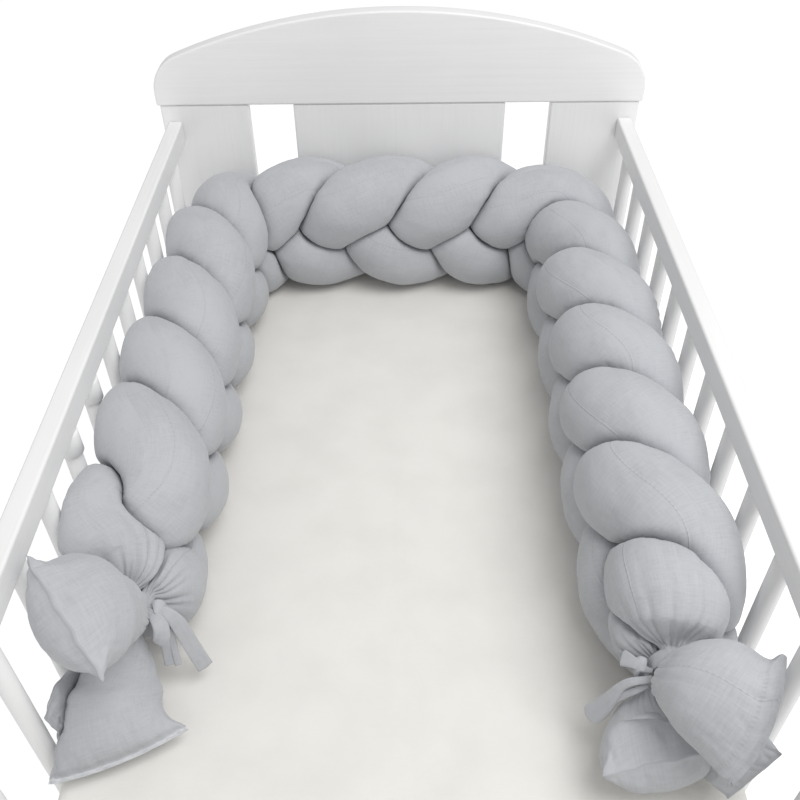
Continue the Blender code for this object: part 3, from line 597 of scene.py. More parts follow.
def plaited_part(tube):
    """Middle line of one tube between the ties: up and down as the sine of its phase, in and out
    as the sine of twice that phase, both dying away towards the ties."""
    plan, run = braid_line()
    along = unit(np.gradient(plan, axis=0))
    inward = np.stack([along[:, 1], -along[:, 0]], 1)
    opens = [smoothstep(run / NECK_TAPER), smoothstep((run[-1] - run) / NECK_TAPER)]
    opened = opens[0] * opens[1]
    phase = np.pi / 2 - 2 * np.pi / 3 * (lobe_number(run) - tube)
    swing = NECK_SPREAD / SWING_UP * (1 - opened) + opened
    middle = np.zeros((len(run), 3))
    middle[:, :2] = plan + inward * along_dips(run, 2)[:, None]
    middle[:, 2] = BRAID_MIDDLE + along_dips(run, 1)
    for opening, at, neck in zip(opens, (0, -1), NECKS.values()):
        middle += (1 - opening)[:, None] * (neck - middle[at])
    into = NECK_SPREAD * np.cos(phase) * (1 - opened) - SWING_IN * np.sin(2 * phase) * opened
    middle[:, :2] += inward * into[:, None]
    middle[:, 2] += SWING_UP * swing * np.sin(phase)
    for nudged, centre, spread, nearer, higher in NUDGES:
        if nudged == tube:
            amount = (opened * hill(run - centre, spread))[:, None]
            middle += amount * np.column_stack([inward * nearer, np.full(len(run), higher)])
    return middle


def loose_end(row, neck_point):
    """Middle line of a loose end: straight out of the tie, then a smooth run to its seam."""
    straight = neck_point - np.linspace(0, NECK_STRAIGHT, 6)[:, None] * (0.0, 1.0, 0.0)
    line, _ = even_steps(np.array([straight[-1], row[0], row[1], row[2]]), 40)
    return np.concatenate([straight[:-1], rounded(line, END_SMOOTHING)])


def closer_at(run, places, count):
    """count distances along a run, at steps that shrink near the given places."""
    near = sum(hill(run - place, CLOSER_WITHIN) for place in places)
    spent = np.cumsum(np.gradient(run) * (1 + CLOSER_BY * near))
    return np.interp(np.linspace(spent[0], spent[-1], count), spent, run)


def tube_slices(tube):
    """Sections of one tube from its left to its right end seam: middle, half width, half depth,
    their directions, how far the seam's middle stands out, and distances to ties and ends."""
    braid = plaited_part(tube)
    left = loose_end(LOOSE_ENDS["left", tube], braid[0])[::-1]
    right = loose_end(LOOSE_ENDS["right", tube], braid[-1])
    line = rounded(np.concatenate([left[:-1], braid, right[1:]]), JOIN_SMOOTHING)
    run = distances(line)
    ties = run[len(left) - 1], run[len(left) + len(braid) - 2]
    at = closer_at(run, (*ties, 0.0, run[-1]), RINGS)
    middle = read_at(at, run, line)

    near = np.minimum(at - ties[0], ties[1] - at) - NECK_HALF_LENGTH
    swell = np.sqrt(1 - (1 - np.clip(near / NECK_SWELL, 0, 1)) ** 2)
    wide = NECK_RADIUS + (TUBE_RADIUS - NECK_RADIUS) * swell
    deep = wide.copy()
    bow = np.zeros(len(at))
    slant = np.zeros(len(at))
    width_way = np.tile((0.0, 0.0, 1.0), (len(at), 1))
    for side, sign, away in (("left", -1, ties[0] - at), ("right", 1, at - ties[1])):
        seam, half_wide, half_deep, stand, fullness, stitching, narrowed = (
            LOOSE_ENDS[side, tube][3:])
        outside = away >= 0
        length = away.max() - NECK_HALF_LENGTH - min(stitching, SEAM_FIN)
        part = np.clip((away - NECK_HALF_LENGTH) / length, 0, 1)
        seam_half = np.linalg.norm(seam)
        swell = np.sin(np.pi / 2 * np.clip(part / FATTEST, 0, 1)) ** fullness
        taper = np.clip((part - FATTEST) / (1 - FATTEST), 0, 1)
        fat_wide = NECK_RADIUS + (half_wide - NECK_RADIUS) * swell
        fat_deep = NECK_RADIUS + (half_deep - NECK_RADIUS) * swell
        end_wide = (fat_wide * (1 - (1 - narrowed) * taper**2)
                    + (seam_half - narrowed * fat_wide) * taper**EAR_POWER)
        end_deep = SEAM_HALF + (fat_deep - SEAM_HALF) * np.sqrt(1 - taper**2)
        wide = np.where(outside, end_wide, wide)
        deep = np.where(outside, end_deep, deep)
        bow = np.where(outside, sign * stand * smoothstep(taper), bow)
        turned = smoothstep(part / TURN_DONE)[:, None]
        mixed = (1 - turned) * width_way + turned * np.divide(seam, seam_half)
        width_way = np.where(outside[:, None], mixed, width_way)
        slant = np.where(outside, smoothstep(taper), slant)
    even, steps = even_steps(line, int(run[-1] / EVEN_STEP))
    ways = unit(np.gradient(even, axis=0))
    at_tie = smoothstep((np.abs(near) - TIE_STRAIGHT) / TIE_STRAIGHT)[:, None]
    along = unit(read_at(at, steps, rounded(ways, WAY_SMOOTHING)) * at_tie
                 + read_at(at, steps, rounded(ways, TIE_SMOOTHING)) * (1 - at_tie))
    square = unit(width_way - (width_way * along).sum(1, keepdims=True) * along)
    wide_way = unit(square + slant[:, None] * (unit(width_way) - square))
    return {"middle": middle, "along": along, "wide_way": wide_way,
            "deep_way": unit(np.cross(along, wide_way)), "wide": wide, "deep": deep, "bow": bow,
            "at": at, "ties": ties, "stitching": [LOOSE_ENDS[side, tube][8] for side in NECKS]}


def nearest(middle, other):
    """For each ring, the slices of a tube that lie nearest to its middle."""
    apart = np.linalg.norm(middle[:, None] - other[None], axis=2)
    return np.argpartition(apart, SLICES_LOOKED_AT, axis=1)[:, :SLICES_LOOKED_AT]


def share_out(points, tube, picks):
    """How far out of a tube points lie, as a share: 1 on the skin of the row of ellipsoids that
    have its slices' half width, half depth and, along it, the mean of the two."""
    offset = points[:, :, None] - tube["middle"][picks]
    size = np.sqrt(tube["wide"] * tube["deep"])[picks]
    a = (offset * tube["wide_way"][picks]).sum(3) / tube["wide"][picks]
    b = (offset * tube["deep_way"][picks]).sum(3) / tube["deep"][picks]
    c = (offset * tube["along"][picks]).sum(3) / size
    return np.sqrt((a * a + b * b + c * c).min(2))


def room_in_crib(middle, way):
    """Reach along each direction as far as the mattress, the slats and the head end."""
    limit = np.full(way.shape[:2], FAR)
    for axis, sign, face in ((2, -1, 0.0), (0, -1, SLAT_FACE), (0, 1, SLAT_FACE),
                             (1, 1, HEAD_FACE)):
        towards = np.maximum(sign * way[:, :, axis], 1e-6)
        spare = face - REST_GAP - sign * middle[:, axis]
        limit = np.minimum(limit, np.maximum(spare, LEAST_REACH) / towards)
    return limit


def loop_length(skin):
    return np.linalg.norm(np.roll(skin, -1, axis=0) - skin, axis=2).sum(0)


def pressed(tubes):
    """Skins of all tubes, ring by ring, where they press on each other and on the crib, and the
    share of its free reach that each point keeps.

    A tube's skin stops where its own share equals a neighbour's. The cloth round a ring keeps its
    length, so a ring that is pressed on one side bulges on its free sides.
    """
    angle = round_steps(AROUND)
    cos, sin = np.cos(angle)[:, None, None], np.sin(angle)[:, None, None]
    thin = slice(None, None, FIELD_EVERY)
    kinds = ("middle", "along", "wide_way", "deep_way", "wide", "deep")
    fields = [{kind: tube[kind][thin] for kind in kinds} for tube in tubes]
    picks = [[nearest(tube["middle"], field["middle"]) for field in fields] for tube in tubes]
    bulges = [np.ones(RINGS) for _ in tubes]
    skins, kept = [None] * len(tubes), [None] * len(tubes)
    for i, tube in enumerate(tubes):
        middle = tube["middle"]
        across = (cos * tube["wide"][:, None] * tube["wide_way"]
                  + sin * tube["deep"][:, None] * tube["deep_way"])
        free = np.linalg.norm(across, axis=2)
        way = across / free[:, :, None]
        low = np.full(free.shape, LEAST_REACH)
        most = free * MOST_BULGE
        high = most.copy()
        for _ in range(HALVINGS):
            trial = (low + high) / 2
            points = middle + trial[:, :, None] * way
            own = share_out(points, fields[i], picks[i][i])
            others = np.minimum(*(share_out(points, fields[j], picks[i][j])
                                  for j in range(len(tubes)) if j != i))
            fits = own - TUBE_OVERLAP_SHARE <= others
            low = np.where(fits, trial, low)
            high = np.where(fits, high, trial)
        met = np.where(low > most * 0.99, FAR, low)
        limit = np.minimum(met, room_in_crib(middle, way))
        for _ in range(PRESS_ROUNDS):
            full = free * bulges[i]
            reach = (full**-SQUARENESS + limit**-SQUARENESS) ** (-1 / SQUARENESS)
            skins[i] = middle + reach[:, :, None] * way
            kept[i] = reach / full
            bulge = bulges[i] * loop_length(middle + free[:, :, None] * way) / loop_length(skins[i])
            bulges[i] = np.clip(rounded(bulge, BULGE_SMOOTHING), 1.0, MOST_BULGE)
        skins[i] += tube["bow"][:, None] * sin**2 * tube["along"]
    return skins, kept


def kept_off_ties(skin):
    """Skin drawn in where a tie goes round the neck, and eased past the tie's edge beside it."""
    skin = skin.copy()
    centre = skin.mean(0)
    inner = NECK_SPREAD + NECK_RADIUS
    for neck in NECKS.values():
        offset = centre - neck
        near = np.linalg.norm(offset, axis=1) < TIE_REACH
        held = near & (np.abs(offset[:, 1]) < NECK_HALF_LENGTH)
        out = skin[:, held][:, :, ::2] - np.array(neck)[::2]
        far = np.linalg.norm(out, axis=2, keepdims=True)
        drawn = skin[:, held]
        drawn[:, :, ::2] = np.array(neck)[::2] + out * np.minimum(1, inner / far)
        skin[:, held] = drawn
        for sign in (-1, 1):
            free = near & ~held & (sign * offset[:, 1] > 0)
            past = sign * (skin[:, free, 1] - neck[1]) - TIE_BAND / 2
            eased = EDGE_EASE * np.logaddexp(0, past / EDGE_EASE)
            skin[:, free, 1] = neck[1] + sign * (TIE_BAND / 2 + eased)
    return skin


def smoothed(skin, passes):
    """Skin whose points move, again and again, to a mean of their neighbours, save at both ends."""
    for _ in range(passes):
        near = np.roll(skin, 1, axis=0) + np.roll(skin, -1, axis=0) + 2 * skin
        inner = (near[:, :-2] + 2 * near[:, 1:-1] + near[:, 2:]) / 16
        skin = np.concatenate([skin[:, :1], inner, skin[:, -1:]], axis=1)
    return skin


def soothed(skin, slices):
    """Skin smoothed a little all over, and much where a loose end bends away from its tie."""
    skin = smoothed(skin, SKIN_SMOOTHING)
    away = np.maximum(slices["ties"][0] - slices["at"], slices["at"] - slices["ties"][1])
    bend = (smoothstep((away - BEND_FROM) / BEND_EASE)
            * smoothstep((BEND_TO - away) / (2 * BEND_EASE)))
    return skin + bend[:, None] * (smoothed(skin, BEND_SMOOTHING) - skin)


def normals(skin):
    """Outward normals of a skin whose first axis goes round and whose second goes along."""
    round_way = np.roll(skin, -1, axis=0) - np.roll(skin, 1, axis=0)
    along = np.gradient(skin, axis=1)
    return unit(np.cross(round_way, along))


def crumple(around, along, seed):
    """Sum of sine waves of many lengths and directions, mostly crosswise, about 1 high in all."""
    draw = np.random.default_rng(seed)
    total = np.zeros(np.broadcast(around, along).shape)
    for _ in range(CRUMPLE_WAVES):
        length = draw.uniform(*CRUMPLE_LENGTHS)
        heading = draw.normal(0.0, CRUMPLE_SLANT)
        start = draw.uniform(0, 2 * np.pi)
        turns = round(CLOTH_ROUND * np.sin(heading) / length)
        phase = 2 * np.pi * (turns * around / CLOTH_ROUND + along * np.cos(heading) / length)
        total += np.sin(phase + start + 1.3 * np.sin(phase / 3 + seed)) * length
    return total / (CRUMPLE_USUAL * np.sqrt(CRUMPLE_WAVES))


def folds_at_tie(angle, away, seed):
    """Depth of the gathers beside a tie: narrow valleys that fan out and fade, each at its own
    length. angle goes round the tube and away is the distance from the tie."""
    draw = np.random.default_rng(seed)
    total = np.zeros(np.broadcast(angle, away).shape)
    for k in range(GATHERS):
        at = 2 * np.pi * (k + draw.uniform(-0.3, 0.3)) / GATHERS
        reach = draw.uniform(*GATHER_REACH)
        strength = draw.uniform(*GATHER_STRENGTH)
        bend = draw.normal(0.0, GATHER_TURN)
        apart = np.abs((angle - at - bend * away + np.pi) % (2 * np.pi) - np.pi)
        width = GATHER_WIDTH + GATHER_FAN * away
        total += strength * np.exp(-apart / width) * hill(away, reach)
    return total


CLOTH = (0.480, 0.490, 0.514, 1.0)
CLOTH_SHADE = (0.382, 0.392, 0.414, 1.0)
HEM_FRAY = (0.640, 0.650, 0.665, 1.0)
CLOTH_ROUND = 2 * math.pi * TUBE_RADIUS
SEAM_LINE = 0.0006
STITCH_LENGTH = 0.0034

# Soft crumples: how high, how many waves, their lengths, the usual one, how far they stray from
# crosswise, and within what distance of a tie they fade.
CRUMPLE_HEIGHT = 0.00045
CRUMPLE_WAVES = 26
CRUMPLE_LENGTHS = (0.012, 0.055)
CRUMPLE_USUAL = 0.030
CRUMPLE_SLANT = 0.55
CRUMPLE_CLEAR = 0.030

# Gathers beside a tie: how many, how deep, the share of that on the loose ends, how far they
# reach, how strong they are, how they turn, their half width at the tie and how they fan out, in
# radians, and where they start beside the strip.
GATHERS = 21
GATHER_DEPTH = 0.0052
LOOSE_GATHERS = 0.5
GATHER_REACH = (0.020, 0.056)
GATHER_STRENGTH = (0.6, 1.2)
GATHER_TURN = 1.6
GATHER_WIDTH = 0.060
GATHER_FAN = 0.8
GATHER_START = 0.004
GATHER_EASE = 0.012

# The long seam: its trough, where it runs and how far it wanders.
SEAM_TROUGH = 0.0003
SEAM_TROUGH_HALF = 0.0035
SEAM_SHIFT = 0.031
SEAM_WANDER = 0.016
SEAM_WANDER_LENGTH = 0.21

# Short creases where tubes press on each other.
NIP_DEPTH = 0.0034
NIP_SPACING = 0.0085
NIP_KEPT = 0.93
NIP_SPREAD = 0.06

# Small folds into the end seams, the fold behind each corner, the sway of the flat edge, and the
# rolled hem, which only a seam whose stitching lies between those distances has.
PUCKER_DEPTH = 0.0017
PUCKER_SPACING = 0.0080
PUCKER_HALF = 0.0021
PUCKER_REACH = (0.006, 0.024)
SEAM_REACH = 0.060
SEAM_FOLD_EASE = 0.004
EAR_FOLD = 0.0016
EAR_FOLD_ANGLE = 0.45
EAR_FOLD_SPREAD = 0.14
EAR_FOLD_MIDDLE = 0.012
EAR_FOLD_LENGTH = 0.009
FIN_SWAY = 0.0007
FIN_SWAY_LENGTH = 0.006
FIN_WAVE = 0.034
FIN_RIPPLE = 0.0027
HEM_LEAST = 0.0040
HEM_MOST = 0.0055
HEM_ROLL = 0.0011
HEM_DENT = 0.0012
FRAY_EASE = 0.002
SEWN_HALF = 0.0008


def seam_place(at, seed):
    """Where round the tube its long seam runs, in metres from the top towards the crib's middle:
    it wanders, because the tube twists a little as it is plaited."""
    return SEAM_SHIFT + SEAM_WANDER * np.sin(at / SEAM_WANDER_LENGTH + 2.1 * seed)


def puckers(on_seam, to_line, seed):
    """Depth of the small folds that run into a seam from one face: each at a place along the seam,
    with a strength, slant and length of its own."""
    draw = np.random.default_rng(seed)
    total = np.zeros(on_seam.shape)
    for place in np.arange(-SEAM_REACH, SEAM_REACH, PUCKER_SPACING):
        centre = place + draw.uniform(-0.4, 0.4) * PUCKER_SPACING + draw.normal(0, 0.4) * to_line
        depth = draw.uniform(0.1, 1.0) * hill(to_line, draw.uniform(*PUCKER_REACH))
        total += depth * hill(on_seam - centre, PUCKER_HALF)
    return total


def nips(at, kept, seed):
    """Depth of the short creases, in groups, that run out from where tubes press on each other:
    across the tube, where the skin keeps a little less than its free reach."""
    edge = hill(kept - NIP_KEPT, NIP_SPREAD)
    groups = np.clip(np.sin(at / 0.043 + 2 * seed) * np.sin(at / 0.017 + seed) - 0.25, 0, 1)
    lines = np.clip(np.sin(2 * np.pi * at / NIP_SPACING + 2 * np.sin(at / 0.009 + seed)), 0, 1)
    return edge * groups * lines


def end_edges(slices):
    """Distance to the nearer end, how far in the stitching runs there, and where it is a hem."""
    to_start, to_finish = slices["at"], slices["at"][-1] - slices["at"]
    stitching = np.where(to_start < to_finish, *slices["stitching"])
    hem = (stitching > HEM_LEAST) & (stitching < HEM_MOST)
    return np.minimum(to_start, to_finish), stitching, hem


def detailed(skin, slices, kept, seed):
    """Skin with its gathers, crumples, creases, seams and end puckers pressed into it."""
    angle = round_steps(len(skin))[:, None]
    around = TUBE_RADIUS * angle
    at = slices["at"][None]
    height = CRUMPLE_HEIGHT * crumple(around, at, seed)
    for k, tie in enumerate(slices["ties"]):
        away = np.abs(at - tie)
        size = smoothstep((away - GATHER_START) / GATHER_EASE)
        gathers = folds_at_tie(angle, away, seed * 10 + k)
        gathers *= np.where((at < tie) == (k == 0), LOOSE_GATHERS, 1.0)
        height = height * smoothstep(away / CRUMPLE_CLEAR) - GATHER_DEPTH * size * gathers
    height -= NIP_DEPTH * nips(at, kept, seed)
    from_seam = np.abs((around - seam_place(slices["at"], seed) + CLOTH_ROUND / 2) % CLOTH_ROUND
                       - CLOTH_ROUND / 2)
    height -= SEAM_TROUGH * hill(from_seam, SEAM_TROUGH_HALF)
    to_end, stitching, hem = end_edges(slices)
    on_seam = np.cos(angle) * slices["wide"]
    to_line = np.abs(to_end - stitching)
    folds = np.where(angle < np.pi, puckers(on_seam, to_line, seed),
                     puckers(on_seam, to_line, seed + 10))
    height -= PUCKER_DEPTH * folds * smoothstep(to_end / SEAM_FOLD_EASE)
    rolls = np.cos(2 * np.pi * to_end / stitching) * (to_end < stitching)
    height += HEM_ROLL * hem * (rolls - hill(to_line, HEM_DENT))
    from_ear = np.arccos(np.abs(np.cos(angle)))
    ear_fold = hill(from_ear - EAR_FOLD_ANGLE, EAR_FOLD_SPREAD) * smoothstep(to_end / SEAM_FIN)
    height -= EAR_FOLD * ear_fold * hill(to_end - EAR_FOLD_MIDDLE, EAR_FOLD_LENGTH)
    swing = np.sin(2 * np.pi * on_seam / FIN_WAVE + seed) + 0.6 * np.sin(on_seam / FIN_RIPPLE)
    sway = FIN_SWAY * swing * hill(to_end, FIN_SWAY_LENGTH)
    return skin + height[:, :, None] * normals(skin) + sway[:, :, None] * slices["deep_way"]


def muslin(name):
    """Crinkled grey double muslin on UV coordinates in metres: open threads both ways, thick and
    thin, with the darker ones uppermost, a crepe of small wrinkles, and the long seam with its row
    of stitches, a little raised, at across = 0, its line darkened by painted shade of the seam's
    trough."""
    made, tree, shader = shader_nodes(name)
    place = tree.nodes.new("ShaderNodeUVMap")
    place.uv_map = "cloth"
    place = place.outputs["UV"]
    warp = noise(tree, place, (900.0, 70.0, 1.0), 1.0)
    weft = noise(tree, place, (70.0, 900.0, 1.0), 1.0)
    crepe = noise(tree, place, (130.0, 260.0, 1.0), 4.0, 0.62)
    cloudy = noise(tree, place, (16.0, 16.0, 1.0), 3.0)
    weave = maths(tree, "ADD", warp, weft)
    split = tree.nodes.new("ShaderNodeSeparateXYZ")
    link(tree, place, split.inputs["Vector"])
    across, along = split.outputs["X"], split.outputs["Y"]
    far = maths(tree, "ABSOLUTE", maths(tree, "WRAP", across, CLOTH_ROUND / 2, -CLOTH_ROUND / 2))
    # The band along the long seam: it raises the seam, holds its stitches and darkens its line as
    # painted shade of the trough.
    seam_line_and_painted_shade = maths(tree, "POWER", maths(tree, "DIVIDE", far, SEAM_LINE), 2.0)
    seam_line_and_painted_shade = maths(tree, "EXPONENT", maths(tree, "MULTIPLY", seam_line_and_painted_shade, -1.0))
    beat, dashes = (maths(tree, "SINE", maths(tree, "MULTIPLY", way, 2 * math.pi / STITCH_LENGTH))
                    for way in (along, across))
    stitches = maths(tree, "MULTIPLY", seam_line_and_painted_shade, maths(tree, "GREATER_THAN", beat, 0.0))
    hem, sewn = (tree.nodes.new("ShaderNodeAttribute") for _ in range(2))
    hem.attribute_name, sewn.attribute_name = "hem", "sewn"
    dashes = maths(tree, "MULTIPLY", sewn.outputs["Fac"], maths(tree, "GREATER_THAN", dashes, 0.2))
    tone = maths(tree, "MULTIPLY_ADD", cloudy, 0.5, 0.40)
    # The seam band's negative share darkens the seam line: painted shade of its trough, not a
    # colour of the cloth.
    for part, share in ((weave, 0.30), (seam_line_and_painted_shade, -0.10), (stitches, 0.30), (dashes, -0.22)):
        tone = maths(tree, "MULTIPLY_ADD", part, share, tone)
    threads = maths(tree, "MULTIPLY_ADD", crepe, 2.4, -0.45)
    edged = tree.nodes.new("ShaderNodeMixRGB")
    link(tree, maths(tree, "MULTIPLY", hem.outputs["Fac"], threads), edged.inputs["Fac"])
    link(tree, colour_between(tree, tone, CLOTH_SHADE, CLOTH, 0.65, 1.0), edged.inputs["Color1"])
    edged.inputs["Color2"].default_value = HEM_FRAY
    link(tree, edged.outputs["Color"], shader.inputs["Base Color"])
    relief = bump(tree, maths(tree, "MULTIPLY", weave, -1.0), 0.00024, 0.50)
    relief = bump(tree, maths(tree, "MULTIPLY", crepe, -1.0), 0.00090, 0.60, relief)
    raised = maths(tree, "ADD", seam_line_and_painted_shade, dashes)
    link(tree, bump(tree, raised, 0.00050, 0.7, relief), shader.inputs["Normal"])
    for key, value in (("Roughness", 0.92), ("Sheen Weight", 0.20), ("Sheen Roughness", 0.55),
                       ("Specular IOR Level", 0.20)):
        shader.inputs[key].default_value = value
    return made


MUSLIN = muslin("grey_muslin")


def add_uv(piece, across, along):
    """A UV map in metres on a grid of quads: across for each row and column, and along for each
    row. The last column of across closes the loop, and has no points of its own."""
    layer = piece.data.uv_layers.new(name="cloth")
    rows, columns = across.shape[0], across.shape[1] - 1
    j, i = np.meshgrid(np.arange(columns), np.arange(rows - 1))
    quad_corners = [(i, j), (i, j + 1), (i + 1, j + 1), (i + 1, j)]
    uv = np.stack([np.stack([across[a, b], along[a]], 2) for a, b in quad_corners], 2)
    uv = uv.reshape(-1, 2)
    full = np.zeros((len(piece.data.loops), 2))
    full[:len(uv)] = uv
    full[len(uv):, 1] = along[-1]
    layer.data.foreach_set("uv", full.ravel())


def tube_piece(name, skin, slices, seed):
    """A closed skin: rings joined by quads, with a narrow strip across either end seam, and the
    hem and the row of end stitches as attributes."""
    rows = skin.transpose(1, 0, 2) + (0.0, 0.0, MATTRESS_TOP)
    count, columns = rows.shape[:2]
    faces = loft(count, columns, closed_ends=False)
    j = np.arange(1, columns // 2 - 1)
    first = np.concatenate([[(0, 1, columns - 1, columns - 1)],
                            np.stack([j, j + 1, columns - j - 1, columns - j], 1),
                            [(columns // 2 - 1, columns // 2, columns // 2 + 1,
                              columns // 2 + 1)]])
    strip = [tuple(dict.fromkeys(face)) for face in first.tolist()]
    start = [face[::-1] for face in strip]
    end = [tuple(k + (count - 1) * columns for k in face) for face in strip]
    piece = mesh_piece(name, rows, faces + start + end, MUSLIN)
    across = CLOTH_ROUND * np.arange(columns + 1) / columns
    add_uv(piece, across - seam_place(slices["at"], seed)[:, None], slices["at"])
    to_end, stitching, hem = end_edges(slices)
    fray = smoothstep((stitching - to_end) / FRAY_EASE) * hem
    sewn = hill(to_end - stitching, SEWN_HALF) * (stitching > HEM_MOST)
    for kind, amount in (("hem", fray), ("sewn", sewn)):
        layer = piece.data.attributes.new(kind, "FLOAT", "POINT")
        layer.data.foreach_set("value", np.repeat(amount, columns))
    return piece


tube_sections = [tube_slices(k) for k in range(3)]
for k, (skin, kept, slices) in enumerate(zip(*pressed(tube_sections), tube_sections)):
    skin = detailed(kept_off_ties(soothed(skin, slices)), slices, kept, k + 1)
    tube = tube_piece(f"braided_tube_{k + 1}", skin, slices, k + 1)
    seat(tube, "grey_muslin", f"tube_{k + 1}")

# ---------------------------------------------------------------- Ties
# A strip of the same muslin, folded and stitched flat, wound round the neck of the plait and
# knotted on the side towards the middle of the crib, with its ends left hanging.
TIE_THICK = 0.0026
TAPE_STEPS = 60
TAPE_COLUMNS = 24
TAPE_SMOOTHING = 14
SQUARE_END = 0.0008
TAPE_WAVE = 0.0006
LEAST_FLAT = 0.010
TURN_STEPS = 90
TURN_RISE = 0.0012
TURN_SLANT = 0.0015


def tape(name, points, broad, widths, thick, round_end):
    """A flat strip with rounded edges carried along a smooth line. points are x, y and height
    above the mattress, broad is the direction of its width at each of them, and its end is rounded
    over the length round_end. It gives the piece and the flat width and length of its cloth."""
    run = distances(np.array(points))
    at = np.linspace(0, run[-1], TAPE_STEPS)
    line = rounded(read_at(at, run, points), TAPE_SMOOTHING)
    side = rounded(read_at(at, run, broad), TAPE_SMOOTHING)
    along = unit(np.gradient(line, axis=0))
    side = unit(side - (side * along).sum(1, keepdims=True) * along)
    out = np.cross(along, side)
    length = distances(line)
    wide = np.interp(at, run, widths)
    past = np.clip(1 + (length - length[-1]) / round_end, 0, 0.97)
    wide = wide * np.sqrt(1 - past**2)
    deep = thick * np.sqrt(1 - past**4)
    turn = round_steps(TAPE_COLUMNS)
    a = np.sign(np.cos(turn)) * np.abs(np.cos(turn)) ** 0.35 / 2 * wide[:, None]
    b = np.sign(np.sin(turn)) * np.abs(np.sin(turn)) ** 0.6 / 2 * deep[:, None]
    wave = TAPE_WAVE * np.sin(length / 0.007 + 0.8 * np.sin(length / 0.011))[:, None]
    rows = (line[:, None] + a[:, :, None] * side[:, None]
            + (b + wave * a / wide.max())[:, :, None] * out[:, None])
    rows = rows + (0.0, 0.0, MATTRESS_TOP)
    girth = loop_length(rows.transpose(1, 0, 2)).mean() / 2
    piece = mesh_piece(name, rows, loft(*rows.shape[:2]), MUSLIN)
    across = girth * 2 * (0.25 + np.arange(TAPE_COLUMNS + 1) / TAPE_COLUMNS)
    add_uv(piece, np.tile(across, (len(length), 1)), length)
    return piece, (max(girth, LEAST_FLAT), length[-1])


def tie_piece(name, side, points, broad, widths, thick, round_end=SQUARE_END):
    piece, flat = tape(name, points, broad, widths, thick, round_end)
    seat(piece, "grey_muslin", f"tie_{side}")


def band(side):
    """The strip where it goes twice round the neck: a helix of two turns, broad side along Y."""
    x, y, z = NECKS[side]
    turn = np.linspace(0, 4 * np.pi, TURN_STEPS)
    radius = NECK_SPREAD + NECK_RADIUS + TIE_THICK / 2 + TURN_RISE * turn / (2 * np.pi)
    points = np.stack([x + radius * np.cos(turn), y + TURN_SLANT * np.sin(turn * 0.7),
                       z + radius * np.sin(turn)], 1)
    broad = np.tile((0.0, 1.0, 0.0), (len(turn), 1))
    tie_piece(f"tie_{side}_band", side, points, broad,
              np.full(len(turn), TIE_WIDTH), TIE_THICK)


for tie_side in NECKS:
    band(tie_side)

